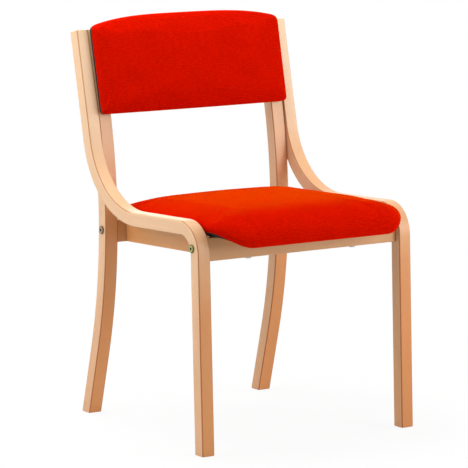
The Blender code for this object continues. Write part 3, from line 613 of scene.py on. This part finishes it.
def bolt_zinc(name, bolt, tones):
    """Plated steel of a bolt: by distance from its axis, painted shade round the rim of the head and in the
    socket.
    """
    material, tree, shader = new_material(name, Metallic=1.0)
    colour = plating(tree, shader, tones, ZINC_ROUGH)
    low, high = (np.array(corner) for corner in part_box(bolt))
    middle = (low + high) / 2
    offset = vectors(tree, "SUBTRACT", object_place(tree), (0.0, middle[1], middle[2]))
    flat = vectors(tree, "MULTIPLY", offset, (0.0, 1.0, 1.0))
    away = vectors(tree, "LENGTH", flat, result="Value")
    share = sums(tree, "DIVIDE", away, float(high[2] - low[2]) / 2)
    # Painted shade round the head's rim, then in the socket
    colour = toned(tree, ranged(tree, share, *HEAD_RIM), colour, RIM_SHADE)
    colour = mixed(tree, ranged(tree, share, *HEAD_SOCKET), colour, SOCKET_SHADE)
    feed(tree, shader, {"Base Color": colour})
    return material


BENT_BEECH = bent_beech()
CROSS_RAIL_BEECH = board_wood(
    "cross_rail_beech", ((0.575, 0.278, 0.102), (0.500, 0.225, 0.071)), 0.0, RAIL_HEIGHT, 0.0, **LACQUER)
SIDE_RAIL_BEECH = board_wood(
    "side_rail_beech", ((0.72, 0.34, 0.125), (0.60, 0.26, 0.080)), -QUARTER_TURN, RAIL_HEIGHT, 0.0, **LACQUER)
PLYWOOD = board_wood(
    "raw_plywood", ((0.60, 0.42, 0.25), (0.46, 0.29, 0.15)), 0.0, SEAT_BOARD_THICKNESS / SEAT_BOARD_LAYERS,
    PLY_LAYER_SHARE)
FABRIC = wool_fabric()
LINING = felt_lining()
NUT_ZINC = plated("yellow_zinc", ((0.36, 0.36, 0.14), (0.22, 0.25, 0.09)), ZINC_ROUGH)
FRONT_ZINC = bolt_zinc(
    "front_bolt_zinc", "left_front_frame_bolt", ((0.50, 0.52, 0.22), (0.34, 0.40, 0.13)))
# Plating tinted brown as a painted reflection of the wood round the rear bolt
REAR_ZINC_AND_REFLECTION = bolt_zinc(
    "rear_bolt_zinc_and_painted_reflection", "left_rear_frame_bolt", ((0.52, 0.38, 0.24), (0.40, 0.29, 0.17)))
STEEL = plated("grey_steel", ((0.52, 0.51, 0.49), (0.36, 0.36, 0.35)), (0.30, 0.46))


# Bent members

UPRIGHT_TOP = upright_yz(HOOP_TOP_HEIGHT - BEND_THICKNESS / 2 * math.sin(BACK_RECLINE))


def bent_line(lengths, headings, top):
    """Arc length, heading and (y, z) along a bent line that ends at its top.

    The heading is linear in the arc length between knots, which makes straights and arcs, and the line is the
    running integral of its heading.
    """
    knots = running_sum(np.array(lengths))
    count = LINE_STEPS * int(math.ceil(knots[-1] / RING_STEP)) + 1
    length = np.linspace(0.0, knots[-1], count)
    heading = np.interp(length, knots, headings)
    slope = heading_vector(heading)
    spots = running_sum((slope[1:] + slope[:-1]) / 2 * np.diff(length)[:, None])
    spots = spots + (top - spots[-1])
    return length[::LINE_STEPS], heading[::LINE_STEPS], spots[::LINE_STEPS]


def hoop_line():
    """A hoop's centre line from foot to top: leg, front bend, seat run, wide sweep, reclined upright."""
    leg = SEAT_RUN_HEIGHT / math.cos(SEAT_TILT) - FRONT_BEND_RADIUS
    turn = QUARTER_TURN + SEAT_TILT - BACK_RECLINE
    setback = BACK_BEND_RADIUS * math.tan(turn / 2)
    run = SEAT_RUN - FRONT_BEND_RADIUS - setback
    upright = float(np.linalg.norm(UPRIGHT_TOP - BACK_CORNER)) - setback
    lengths = (leg, FRONT_BEND_RADIUS * QUARTER_TURN, run, BACK_BEND_RADIUS * turn, upright)
    seat_heading = QUARTER_TURN + SEAT_TILT
    headings = (SEAT_TILT, SEAT_TILT, seat_heading, seat_heading, BACK_RECLINE, BACK_RECLINE)
    return bent_line(lengths, headings, UPRIGHT_TOP)


def rear_line():
    """A rear leg's centre line: straight splayed foot, one long arc, then the upright beside the hoop's."""
    turn = BACK_RECLINE + REAR_LEG_SPLAY
    back = -FORWARD * REAR_LEG_SETBACK
    straight = upright_yz(HOOP_TOP_HEIGHT - REAR_STRAIGHT_LENGTH) + back
    top = UPRIGHT_TOP + back
    drop = REAR_LEG_RADIUS * (math.sin(BACK_RECLINE) + math.sin(REAR_LEG_SPLAY))
    foot = (straight[1] - drop) / math.cos(REAR_LEG_SPLAY)
    lengths = (foot, REAR_LEG_RADIUS * turn, float(np.linalg.norm(top - straight)))
    headings = (-REAR_LEG_SPLAY, -REAR_LEG_SPLAY, BACK_RECLINE, BACK_RECLINE)
    return bent_line(lengths, headings, top)


def rear_along():
    """Place of the rear legs' centre line along the seat frame, level with the hoops' seat runs."""
    spots = rear_line()[2] - seat_yz(0.0, 0.0)
    c, s = math.cos(SEAT_TILT), math.sin(SEAT_TILT)
    along, up = spots[:, 0] * c - spots[:, 1] * s, spots[:, 0] * s + spots[:, 1] * c
    return float(np.interp(0.0, up, along))


def arris_section():
    """Rounded rectangle round a member, its corners quarter circles.

    Side (+1 or -1) of each point, distance in from that side, place through the thickness, and how far it is
    on an arris. Support points beside the corners keep the flat faces flat in the shading.
    """
    angle = np.linspace(0.0, QUARTER_TURN, ARRIS_STEPS + 1)
    edge = EDGE_ROUND * (1.0 - np.cos(angle))
    deep = BEND_THICKNESS / 2 - EDGE_ROUND + EDGE_ROUND * np.sin(angle)
    edge = np.concatenate(([0.0], edge, [EDGE_ROUND + ARRIS_SUPPORT]))
    deep = np.concatenate(([BEND_THICKNESS / 2 - EDGE_ROUND - ARRIS_SUPPORT], deep, [BEND_THICKNESS / 2]))
    mask = np.concatenate(([0.0], np.sin(2.0 * angle), [0.0]))
    sides = np.repeat((1.0, -1.0, -1.0, 1.0), len(edge))
    inward = np.concatenate((edge, edge[::-1], edge, edge[::-1]))
    through = np.concatenate((deep, deep[::-1], -deep, -deep[::-1]))
    return sides, inward, through, np.tile(mask, 4)


def bent_piece(name, line, faces, side, painted_light, inner_shade, dark):
    """Carry the rounded section along a bent line; faces gives the two side faces' x at a height.

    The foot is cut level and both ends are chamfered. The painted shade along the arrises shows less where
    the member lies level.
    """
    length, heading, spots = line
    sides, inward, through, mask = arris_section()
    rows = np.concatenate(([0, 0], np.arange(1, len(length) - 1), [-1, -1]))
    length, heading, spots = length[rows], heading[rows], spots[rows]
    along = heading_vector(heading)
    spots[-2] -= along[-2] * END_CHAMFER
    length[-2] -= END_CHAMFER
    shrink = np.zeros(len(rows))
    shrink[[0, -1]] = END_CHAMFER
    forward = np.stack((-np.cos(heading), np.sin(heading)), -1)
    depth = through[None, :] * (1.0 - 2.0 * shrink[:, None] / BEND_THICKNESS)
    yz = spots[:, None, :] + forward[:, None, :] * depth[..., None]
    slide = np.zeros(yz.shape[:2])
    slide[0] = -yz[0, :, 1] / along[0, 1]
    slide[1] = (END_CHAMFER - yz[1, :, 1]) / along[1, 1]
    yz += along[:, None, :] * slide[..., None]
    height = yz[..., 1]
    wide, thin = faces(height)
    across = sides * ((wide - thin) / 2 - shrink[:, None] - inward)
    x = side * ((wide + thin) / 2 + across)
    unbent = np.stack((length[:, None] + slide + side * FIGURE_SHIFT, across, depth), -1)
    # The painted shade along the arrises fades out where the member lies level
    steep = np.clip((LEVEL_HEADING - heading) / LEVEL_FADE, 0.0, 1.0)[:, None]
    count = x.shape[1]
    caps = (np.arange(count)[::-1], np.arange(count) + (len(rows) - 1) * count)
    attributes = {
        "unbent": unbent.reshape(-1, 3),
        "arris": (mask * steep).reshape(-1),
        "tone": np.full(x.size, dark),
        # Share of painted light from above, by height
        "painted_light": risen(height, *painted_light).reshape(-1),
        # Painted shade on the inner side, by height
        "inner_shade": np.where(across < 0.0, risen(height, *inner_shade), 0.0).reshape(-1),
    }
    points = np.concatenate((x[..., None], yz), -1)
    return make_piece(name, points, grid_quads(len(rows), count, True), caps, (BENT_BEECH,), attributes)


for word, side in (("left", -1), ("right", 1)):
    hoop = bent_piece(word + "_hoop_lamination", hoop_line(), hoop_faces, side, *MEMBER_LIGHT_AND_TONE[word + "_hoop"])
    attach(hoop, "root")
    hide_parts(word + "_front_hoop")
    leg = bent_piece(word + "_leg_lamination", rear_line(), leg_faces, side, *MEMBER_LIGHT_AND_TONE[word + "_leg"])
    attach(leg, "root")
    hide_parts(word + "_rear_leg")


# Padded pieces

# A form: half width, front and rear of the plan, corner radii, how they draw in and their least, wall, rise
# and run of the shoulder, levels of base and lower edge, place in the chair, then what not each form has
PadForm = namedtuple(
    "PadForm",
    "half front rear front_corner rear_corner draw least wall rise run base lower place tuck crown bow thin",
    defaults=(0.0, 0.0, 0.0, np.zeros_like))


def ring_grid(cells):
    """A square grid as rings: share is 0 at the middle and 1 on the rim, turn runs from 0 to 4 round it."""
    line = np.linspace(-1.0, 1.0, cells + 1)
    u, v = np.meshgrid(line, line)
    share = np.maximum(np.abs(u), np.abs(v))
    safe = np.where(share > 0.0, share, 1.0)
    a, b = u / safe, v / safe
    near = 1.0 - TINY
    turn = np.select(
        [b <= -near, a >= near, b >= near], [(a + 1) / 2, 1 + (b + 1) / 2, 2 + (1 - a) / 2], 3 + (1 - b) / 2)
    return share.reshape(-1), np.mod(turn, 4.0).reshape(-1)


def rim_of(cells):
    """Numbers of the grid's rim points in the order of their turn."""
    step = np.arange(cells)
    wide = cells + 1
    return np.concatenate((step, step * wide + cells, cells * wide + cells - step, (cells - step) * wide))


def plan_outline(form, turn, inset):
    """(x, y) on the plan outline, drawn in by inset.

    Each of its four runs goes from one corner's middle to the next, evenly by length: an eighth of a circle,
    a straight, an eighth of a circle. The corners tighten as the outline is drawn in.
    """
    front_radius = np.maximum(form.front_corner - form.draw * inset, form.least)
    rear_radius = np.maximum(form.rear_corner - form.draw * inset, form.least)
    half = form.half - inset
    low, high = form.front + inset, form.rear - inset
    run = np.minimum(np.floor(turn), 3.0)
    share = turn - run
    first = np.where(run < 1.5, front_radius, rear_radius)
    second = np.where((run < 0.5) | (run > 2.5), front_radius, rear_radius)
    span = np.where(run % 2 < 0.5, 2 * half, high - low)
    eighth = math.pi / 4
    straight = span - first - second
    spot = share * (first * eighth + straight + second * eighth)
    before = np.clip((first * eighth - spot) / first, 0.0, eighth)
    after = np.clip((spot - first * eighth - straight) / second, 0.0, eighth)
    along = first + np.clip(spot - first * eighth, 0.0, straight)
    along = along - first * np.sin(before) + second * np.sin(after)
    inward = first * (1.0 - np.cos(before)) + second * (1.0 - np.cos(after))
    runs = [run < 0.5, run < 1.5, run < 2.5]
    x = np.select(runs, [along - half, half - inward, half - along], inward - half)
    y = np.select(runs, [low + inward, low + along, high - inward], high - along)
    return x, y


def shoulder_length(form, angle):
    """Arc length of the rounded shoulder from its wall up to an angle."""
    table = np.linspace(0.0, SHOULDER_TURN, SHOULDER_STEPS + 1)
    speed = np.hypot(form.run * np.sin(table), form.rise * np.cos(table))
    return np.interp(angle, table, running_sum((speed[1:] + speed[:-1]) / 2 * np.diff(table)))


def pad_top(form, share, turn):
    """Places and cloth coordinates of the upholstered side.

    From the middle outwards: a crown (a product of two even powers), a shoulder (an ellipse quarter, taller
    at the middle of the width) and a wall that tucks in. Cloth coordinates are places in the plan, carried
    outwards by the arc length of shoulder and wall.
    """
    angle = SHOULDER_TURN * risen(share, WALL_SHARE, SHOULDER_SHARE)
    down = risen(share, WALL_SHARE, 1.0)
    drawn_in = form.run * (1.0 - math.cos(SHOULDER_TURN))
    x, y = plan_outline(form, turn, form.run * (1.0 - np.cos(angle)) + form.tuck * down ** 2)
    centre = (form.front + form.rear) / 2
    deep = (form.rear - form.front) / 2
    scale = np.clip(share / SHOULDER_SHARE, 0.0, 1.0)
    x, y = x * scale, centre + (y - centre) * scale
    crown = dome(x / (form.half - drawn_in), CROWN_POWER)
    crown = crown * dome((y - centre) / (deep - drawn_in), CROWN_POWER)
    rise = form.rise + form.bow * (1.0 - (x / form.half) ** 2)
    lift = (form.wall + rise * np.sin(angle) + form.crown * crown) * (1.0 - form.thin(y))
    high = form.base(x, y) + lift
    low = form.lower(x, y)
    inner = np.stack(plan_outline(form, turn, drawn_in), -1)
    outward = np.stack(plan_outline(form, turn, 0.0), -1) - inner
    outward /= np.linalg.norm(outward, axis=1, keepdims=True)
    beyond = shoulder_length(form, SHOULDER_TURN) - shoulder_length(form, angle)
    beyond = beyond + down * (form.wall + EDGE_CLOTH)
    cloth = np.where(scale[:, None] < 1.0, np.stack((x, y), -1), inner + outward * beyond[:, None])
    return form.place(x, y, high + (low - high) * down), np.column_stack((cloth, np.zeros_like(x)))


def pad_piece(name, form, under, materials, cells, turned=0, bound=2.0):
    """A closed pad: upholstered grid, turned-under rows as (inset, level), and a grid inside the last row.

    Strips after the first turned ones, and upholstered faces beyond the share bound, take the last material.
    """
    share, turn = ring_grid(cells)
    points, cloth = pad_top(form, share, turn)
    rim = rim_of(cells)
    around = np.arange(4 * cells) / cells
    quads = [grid_quads(cells + 1, cells + 1, False)]
    all_points, all_cloth = [points], [cloth]
    numbers, first, run = rim, len(points), 0.0
    outer_x, outer_y = plan_outline(form, around, 0.0)
    for inset, level in under:
        x, y = plan_outline(form, around, inset)
        fresh = form.place(x, y, level(x, y))
        step = np.mean(np.linalg.norm(fresh - all_points[-1][-len(fresh):], axis=1)) if run else EDGE_CLOTH
        run += float(step)
        outward = np.stack((outer_x - x, outer_y - y, np.zeros_like(x)), -1)
        outward /= np.maximum(np.linalg.norm(outward, axis=1, keepdims=True), TINY)
        all_points.append(fresh)
        all_cloth.append(cloth[rim] + outward * run)
        fresh_numbers = np.arange(first, first + len(fresh))
        following = np.roll(numbers, -1), np.roll(fresh_numbers, -1)
        quads.append(np.stack((following[0], numbers, fresh_numbers, following[1]), -1))
        numbers, first = fresh_numbers, first + len(fresh)
    inside = np.flatnonzero(share < 1.0 - TINY)
    lookup = np.empty(len(share), dtype=int)
    lookup[rim] = numbers
    lookup[inside] = first + np.arange(len(inside))
    inset, level = under[-1]
    x, y = plan_outline(form, turn[inside], inset)
    centre = (form.front + form.rear) / 2
    x, y = x * share[inside], centre + (y - centre) * share[inside]
    all_points.append(form.place(x, y, level(x, y)))
    all_cloth.append(cloth[inside])
    quads.append(lookup[quads[0]][:, ::-1])
    counts = [len(part) for part in quads]
    last = np.repeat(np.arange(len(quads)) > turned, counts)
    last[:counts[0]] = share[quads[0]].mean(1) > bound
    return make_piece(
        name, np.concatenate(all_points), np.concatenate(quads), (), materials,
        {"cloth": np.concatenate(all_cloth)}, sharp=math.radians(70.0), index=last * (len(materials) - 1))


def pad_hold(count):
    """Hold of a pad's points: none on crown and shoulder, growing down the wall, full underneath."""
    share, _ = ring_grid(PAD_CELLS)
    hold = np.ones(count)
    hold[:len(share)] = risen(share, SHOULDER_SHARE + HOLD_START, WALL_SHARE + HOLD_END)
    return hold


def coordinates(mesh):
    """Places of a mesh's points."""
    places = np.empty(len(mesh.vertices) * 3)
    mesh.vertices.foreach_get("co", places)
    return places.reshape(-1, 3)


def plump(piece, pressure, cap):
    """Swell a pad with Blender's cloth under inner pressure, then keep the result.

    Each point is held on its place as far as pad_hold says, and moves at most by cap.
    """
    mesh = piece.data
    start = coordinates(mesh)
    levels = np.round(pad_hold(len(start)) * HOLD_LEVELS)
    held = piece.vertex_groups.new(name="held")
    for level in range(1, HOLD_LEVELS + 1):
        chosen = np.flatnonzero(levels == level)
        if len(chosen):
            held.add(chosen.tolist(), level / HOLD_LEVELS, "REPLACE")
    step = piece.modifiers.new("swell", "CLOTH")
    step.settings.quality = 6
    step.settings.mass = 0.2
    step.settings.use_pressure = True
    step.settings.uniform_pressure_force = pressure
    step.settings.vertex_group_mass = "held"
    step.settings.pin_stiffness = 1.0
    step.settings.effector_weights.gravity = 0.0
    step.collision_settings.use_collision = False
    step.point_cache.frame_start = 1
    step.point_cache.frame_end = SWELL_FRAMES
    scene = bpy.context.scene
    for now in range(1, SWELL_FRAMES + 1):
        scene.frame_set(now)
    swollen = piece.evaluated_get(bpy.context.evaluated_depsgraph_get())
    moved = coordinates(swollen.data) - start
    size = np.linalg.norm(moved, axis=1, keepdims=True)
    moved *= np.minimum(1.0, cap / np.maximum(size, TINY))
    piece.modifiers.remove(step)
    piece.vertex_groups.remove(held)
    scene.frame_set(1)
    mesh.vertices.foreach_set("co", (start + moved).reshape(-1))
    mesh.update()


def smoothed(piece):
    """One subdivision, the same in the viewport and the render."""
    step = piece.modifiers.new("round", "SUBSURF")
    step.levels = 1
    step.render_levels = 1


# Seat

seat_half = CHAIR_WIDTH / 2 - HOOP_WIDTH - SEAT_SIDE_GAP
seat_front = leg_front - SEAT_OVERHANG
seat_rear = rear_along() - BEND_THICKNESS / 2 - SEAT_REAR_GAP
lip_start = seat_front + LIP_LENGTH
lining_low = -RAIL_DROP + CLEARANCE
board_low = lining_low + LINING_THICKNESS + CLEARANCE
board_high = board_low + SEAT_BOARD_THICKNESS


def lip_drop(y):
    """A circle's drop in front of the lip's start."""
    reach = np.clip(lip_start - y, 0.0, LIP_RADIUS * LIP_LIMIT)
    return LIP_RADIUS - np.sqrt(LIP_RADIUS ** 2 - reach ** 2)


def seat_base(x, y):
    """Level of the cushion's underside on the board, eased a little off the lip."""
    near_lip = risen(y, lip_start + LIP_LENGTH / 2, lip_start)
    return board_high + CLEARANCE + LIP_EASE * near_lip - lip_drop(y)


def seat_lower(x, y):
    """Level of the cushion's lower edge, which hangs deeper over the lip."""
    share = risen(y, lip_start, seat_front)
    return seat_base(x, y) - PAD_SKIRT - (PAD_LIP_SKIRT - PAD_SKIRT) * share


def seat_nose(y):
    """Thinning of the cushion towards its front edge, a parabola."""
    return NOSE_THINNING * risen(y, seat_front + NOSE_LENGTH, seat_front) ** 2


def seat_place(x, y, up):
    """Place in the chair of a spot in the seat frame."""
    return np.concatenate((x[:, None], seat_yz(y, up)), -1)


def under_board(drop):
    """Level just under the board, which rolls down with the lip."""
    return lambda x, y: board_low - drop - lip_drop(y)


def wrap(share):
    """Level of the cover on its way from the lower edge to the board's underside."""
    ease = share * share * (3.0 - 2.0 * share)
    return lambda x, y: seat_lower(x, y) + (under_board(HEM_THICKNESS)(x, y) - seat_lower(x, y)) * ease


SEAT_FORM = PadForm(
    half=seat_half, front=seat_front, rear=seat_rear, front_corner=0.062, rear_corner=0.054,
    draw=SEAT_CORNER_DRAW, least=SEAT_LEAST_CORNER, wall=0.0035, rise=0.0275, run=0.0600, base=seat_base,
    lower=seat_lower, place=seat_place, tuck=PAD_TUCK, crown=0.0020, bow=0.0055, thin=seat_nose)
hem_start = SEAT_BOARD_INSET + HEM_GAP
hem_end = hem_start + HEM_WIDTH
seat_under = [(PAD_TUCK + (hem_start - PAD_TUCK) * share, wrap(share)) for share in WRAP_SHARES]
seat_under += [
    ((hem_start + hem_end) / 2, under_board(HEM_THICKNESS)),
    (hem_end - HEM_ROUND, under_board(HEM_THICKNESS)),
    (hem_end, under_board(HEM_FOLD)),
    (hem_end - HEM_ROUND, under_board(HEM_LIFT)),
    (hem_start - HEM_RETURN, under_board(HEM_LIFT)),
    (SEAT_BOARD_INSET - 2 * CLEARANCE, seat_base),
]
seat = pad_piece("seat_cushion", SEAT_FORM, seat_under, (FABRIC, LINING), PAD_CELLS, turned=1)
plump(seat, pressure=3.0, cap=0.004)
smoothed(seat)
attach(seat, "root")
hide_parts("seat_pad")

# Lining under the seat, and the staples that hold its free edges

board_half = seat_half - SEAT_BOARD_INSET
board_corner = max(SEAT_BOARD_CORNER - SEAT_CORNER_DRAW * SEAT_BOARD_INSET, LIP_LENGTH - SEAT_BOARD_INSET)
lining_half = board_half - LINING_INSET
lining_front = seat_front + SEAT_BOARD_INSET + board_corner + CLEARANCE
lining_rear = seat_rear - SEAT_BOARD_INSET - LINING_INSET
lining_high = lining_low + LINING_THICKNESS
side_rail_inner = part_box("right_side_rail")[0][0]
side_rail_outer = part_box("right_side_rail")[1][0]
bay_front = front_rail_along + RAIL_THICKNESS / 2
bay_rear = bay_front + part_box("rear_rail")[0][1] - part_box("front_rail")[1][1]


def lining_sag(x, y):
    """Depth of the lining under its flat level.

    It is a product of two flat-topped even powers in the bay between the rails, and outside the side rails a
    ripple between the staples that grows towards the free edge.
    """
    middle, deep = (bay_front + bay_rear) / 2, (bay_rear - bay_front) / 2
    bay = dome(x / side_rail_inner, SAG_POWER) * dome((y - middle) / deep, SAG_POWER)
    edge = risen(np.abs(x), side_rail_outer, lining_half)
    beat = (y - lining_front) / (lining_rear - lining_front) * STAPLE_COUNT
    return LINING_SAG * bay + LINING_PUCKER * edge * np.sin(math.pi * beat) ** 2


LINING_FORM = PadForm(
    half=lining_half, front=lining_front, rear=lining_rear, front_corner=0.015, rear_corner=0.015,
    draw=SEAT_CORNER_DRAW, least=SEAT_LEAST_CORNER, wall=LINING_THICKNESS / 2, rise=LINING_THICKNESS / 2,
    run=0.0020, base=lining_sag, lower=lining_sag,
    place=lambda x, y, deep: seat_place(x, y, lining_high - deep))
lining = pad_piece("lining_cloth", LINING_FORM, [(0.0, lining_sag)], (LINING,), cells=48)
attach(lining, "root")
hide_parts("seat_lining")


def staples():
    """Wire staples along the lining's free edges: a round section carried up, along the edge and up again.

    Sines of its number shift and turn each one a little.
    """
    number = np.arange(STAPLE_COUNT)
    wander = STAPLE_WANDER * np.sin(STAPLE_BEATS[0] * number)
    spot = lining_front + (number + 0.5 + wander) / STAPLE_COUNT * (lining_rear - lining_front)
    turn = STAPLE_TURN * np.concatenate((np.sin(STAPLE_BEATS[1] * number), np.cos(STAPLE_BEATS[2] * number)))
    x = np.repeat((-1.0, 1.0), STAPLE_COUNT) * (lining_half - STAPLE_INSET)
    y = np.tile(spot, 2)
    bend = np.linspace(0.0, QUARTER_TURN, STAPLE_BEND_STEPS + 1)
    reach = STAPLE_WIDTH / 2 - STAPLE_WIRE
    half_along = np.concatenate(([STAPLE_WIDTH / 2], reach + STAPLE_WIRE * np.cos(bend)))
    half_up = np.concatenate(([STAPLE_LEG], STAPLE_WIRE - STAPLE_WIRE * np.sin(bend)))
    half_path = np.stack((half_along, half_up), -1)
    path = np.concatenate((half_path * (-1.0, 1.0), half_path[::-1]))
    slope = np.gradient(path, axis=0)
    slope /= np.linalg.norm(slope, axis=1, keepdims=True)
    ring = np.linspace(0.0, 2 * math.pi, STAPLE_SIDES, endpoint=False)
    level = STAPLE_WIRE / 2 * np.sin(ring)
    along = path[:, 0:1] - slope[:, 1:2] * level
    up = path[:, 1:2] + slope[:, 0:1] * level
    aside = np.broadcast_to(STAPLE_WIRE / 2 * np.cos(ring), along.shape)
    c, s = np.cos(turn)[:, None, None], np.sin(turn)[:, None, None]
    place_x = x[:, None, None] + aside * c - along * s
    place_y = y[:, None, None] + aside * s + along * c
    base = lining_high - lining_sag(x, y) - LINING_THICKNESS - STAPLE_WIRE / 2
    place_up = base[:, None, None] + np.broadcast_to(up, place_x.shape)
    points = seat_place(place_x.reshape(-1), place_y.reshape(-1), place_up.reshape(-1))
    starts = np.arange(2 * STAPLE_COUNT) * along.size
    quads = (grid_quads(len(path), STAPLE_SIDES, True)[None] + starts[:, None, None]).reshape(-1, 4)
    first = np.arange(STAPLE_SIDES)[::-1]
    last = np.arange(STAPLE_SIDES) + along.size - STAPLE_SIDES
    caps = [first + start for start in starts] + [last + start for start in starts]
    return make_piece("lining_staples", points, quads, caps, (STEEL,), {})


tacks = staples()
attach(tacks, "root")

# Back

back_bottom = HOOP_TOP_HEIGHT - BACK_DROP
foot = upright_yz(back_bottom) + FORWARD * (BEND_THICKNESS / 2 - REAR_LEG_SETBACK)
foot = foot + UPRIGHT * ((back_bottom - foot[1]) / UPRIGHT[1])
upright_inner = float(leg_faces(back_bottom)[1])
cover_low = CLEARANCE
back_low = cover_low + BACK_COVER_THICKNESS + CLEARANCE
back_high = back_low + BACK_BOARD_THICKNESS


def back_bow(x):
    """Hollow of the back, nil over the uprights' inner edges."""
    return BACK_HOLLOW * (x ** 2 - upright_inner ** 2) / BACK_HALF_WIDTH ** 2


def back_place(x, y, out):
    """Place on the reclined back; the arch lifts its top at the middle, and the sides follow the hoops."""
    lift = BACK_ARCH * dome(x / BACK_HALF_WIDTH, ARCH_POWER) * y / BACK_HEIGHT
    lift = lift - BACK_LOW_EDGE * (1.0 - y / BACK_HEIGHT)
    height = back_bottom + y * UPRIGHT[1]
    x = x + x * (hoop_faces(height)[1] / BACK_HALF_WIDTH - 1.0) * BACK_EDGE_SHARE
    yz = foot + UPRIGHT * (y + lift)[:, None] + FORWARD * out[:, None]
    return np.concatenate((x[:, None], yz), -1)


def back_base(x, y):
    """Level of the back cushion's rear on its board."""
    return back_high + CLEARANCE + back_bow(x)


def back_lower(x, y):
    """Level of the back cushion's edge, close to the uprights' line."""
    return cover_low + 3 * CLEARANCE + back_bow(x)


BACK_FORM = PadForm(
    half=BACK_HALF_WIDTH, front=0.0, rear=BACK_HEIGHT, front_corner=0.006, rear_corner=0.008, draw=-0.6,
    least=0.003, wall=0.0010, rise=0.0150, run=0.0180, base=back_base, lower=back_lower, place=back_place,
    tuck=0.0010, crown=0.0040)
board_edge = BACK_BOARD_INSET - 2 * CLEARANCE
back_under = [(inset, back_lower) for inset in BACK_TURN_INSETS]
back_under += [(board_edge, lambda x, y: back_lower(x, y) + BACK_TURN_LIFT), (board_edge, back_base)]

# The lining on the low part of its wall is a black strip of painted shade for the slit beside the back
# cushion
back = pad_piece("back_cushion", BACK_FORM, back_under, (FABRIC, LINING), PAD_CELLS, bound=0.915)
plump(back, pressure=1.5, cap=0.002)
smoothed(back)
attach(back, "root")
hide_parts("back_pad")


# Rear skin of the back


def cover_belly(x, y):
    """Swell of the rear skin between the uprights: a product of squared parabolas, nil where it is held."""
    return BACK_COVER_BELLY * (dome(x / upright_inner, 2) * dome(2.0 * y / BACK_HEIGHT - 1.0, 2)) ** 2


def cover_place(x, y, deep):
    """Place in the chair at a depth behind the rear skin's front level."""
    return back_place(x, y, cover_low + BACK_COVER_THICKNESS + back_bow(x) - deep)


def on_board(x, y):
    """Level of the rear skin's rim, flat on the board."""
    return np.zeros_like(x)


COVER_FORM = BACK_FORM._replace(
    half=BACK_HALF_WIDTH - BACK_COVER_INSET, front=BACK_COVER_INSET, rear=BACK_HEIGHT - BACK_COVER_INSET,
    wall=BACK_COVER_THICKNESS / 2, rise=BACK_COVER_THICKNESS / 2, run=0.0035, base=cover_belly,
    lower=on_board, place=cover_place, tuck=0.0, crown=0.0)
cover = pad_piece("back_cover_cloth", COVER_FORM, [(0.0, on_board)], (FABRIC,), cells=60)
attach(cover, "root")
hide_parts("back_cover")


# Materials of the CAD nodes that stay, by the ends of their names

STAYING = {
    "front_rail": CROSS_RAIL_BEECH, "rear_rail": CROSS_RAIL_BEECH, "side_rail": SIDE_RAIL_BEECH,
    "front_frame_bolt": FRONT_ZINC, "rear_frame_bolt": REAR_ZINC_AND_REFLECTION, "barrel_nut": NUT_ZINC,
    "board": PLYWOOD, "screw": STEEL,
}
for name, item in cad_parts.items():
    for ending, material in STAYING.items():
        if name.endswith(ending):
            for place in item.material_slots:
                place.material = material


# Floor, light and camera


def studio_floor():
    """White floor: mostly its own white for what looks at it, and a share of lit paint for the shadow."""
    material = bpy.data.materials.new("studio_floor")
    material.use_nodes = True
    tree = material.node_tree
    tree.nodes.clear()
    place = object_place(tree)
    grain = noise(tree, place, waves=(3.0, 3.0, 3.0))
    paint = node(tree, "BsdfDiffuse", {"Color": mixed(tree, grain, *FLOOR_PAINT)})
    white = node(tree, "Emission", {"Color": WHITE, "Strength": 1.0})
    away = vectors(tree, "LENGTH", place, result="Value")
    share = sums(tree, "MULTIPLY", seen_rays(tree), ranged(tree, away, *FLOOR_FADE, *FLOOR_WHITE))
    mix = node(tree, "MixShader", {0: share, 1: paint.outputs[0], 2: white.outputs[0]})
    node(tree, "OutputMaterial", {"Surface": mix.outputs[0]})
    return material


def studio_world():
    """White surroundings that light the chair less than they show."""
    world = bpy.data.worlds.new("studio")
    world.use_nodes = True
    tree = world.node_tree
    tree.nodes.clear()
    strength = ranged(tree, seen_rays(tree), 0.0, 1.0, *WORLD_LIGHT)
    light = node(tree, "Background", {"Color": WHITE, "Strength": strength})
    node(tree, "OutputWorld", {"Surface": light.outputs[0]})
    return world


def looking(place, target):
    """Matrix at a place whose -Z looks at the target with +Y up in the picture."""
    aim = Vector(target) - Vector(place)
    return Matrix.Translation(place) @ aim.to_track_quat("-Z", "Y").to_matrix().to_4x4()


def softbox(name, place, target, width, height, power):
    """A rectangular area lamp that faces a point."""
    lamp = bpy.data.lights.new(name, "AREA")
    lamp.shape = "RECTANGLE"
    lamp.size, lamp.size_y = width, height
    lamp.energy = power
    linked(name, lamp).matrix_world = looking(place, target)


corners = FLOOR_SIZE * (np.array(((0, 0), (1, 0), (1, 1), (0, 1))) - 0.5)
floor_mesh = bpy.data.meshes.new("floor")
floor_mesh.from_pydata([(x, y, -FLOOR_DROP) for x, y in corners.tolist()], [], [(0, 1, 2, 3)])
floor_mesh.materials.append(studio_floor())
floor = linked("floor", floor_mesh)

bpy.context.scene.world = studio_world()
for title, lamp in LAMPS.items():
    softbox(title, *lamp)

lens = bpy.data.cameras.new("camera")
lens.lens = CAMERA_LENS
lens.sensor_width = 36.0
lens.clip_end = 200.0
camera = linked("camera", lens)
back_off = CAMERA_DISTANCE * np.array((
    math.sin(CAMERA_AZIMUTH) * math.cos(CAMERA_ELEVATION),
    -math.cos(CAMERA_AZIMUTH) * math.cos(CAMERA_ELEVATION), math.sin(CAMERA_ELEVATION)))
camera.matrix_world = looking(tuple(np.array(CAMERA_TARGET) + back_off), CAMERA_TARGET)
bpy.context.scene.camera = camera
bpy.context.scene.view_settings.view_transform = "Standard"

bpy.context.view_layer.update()
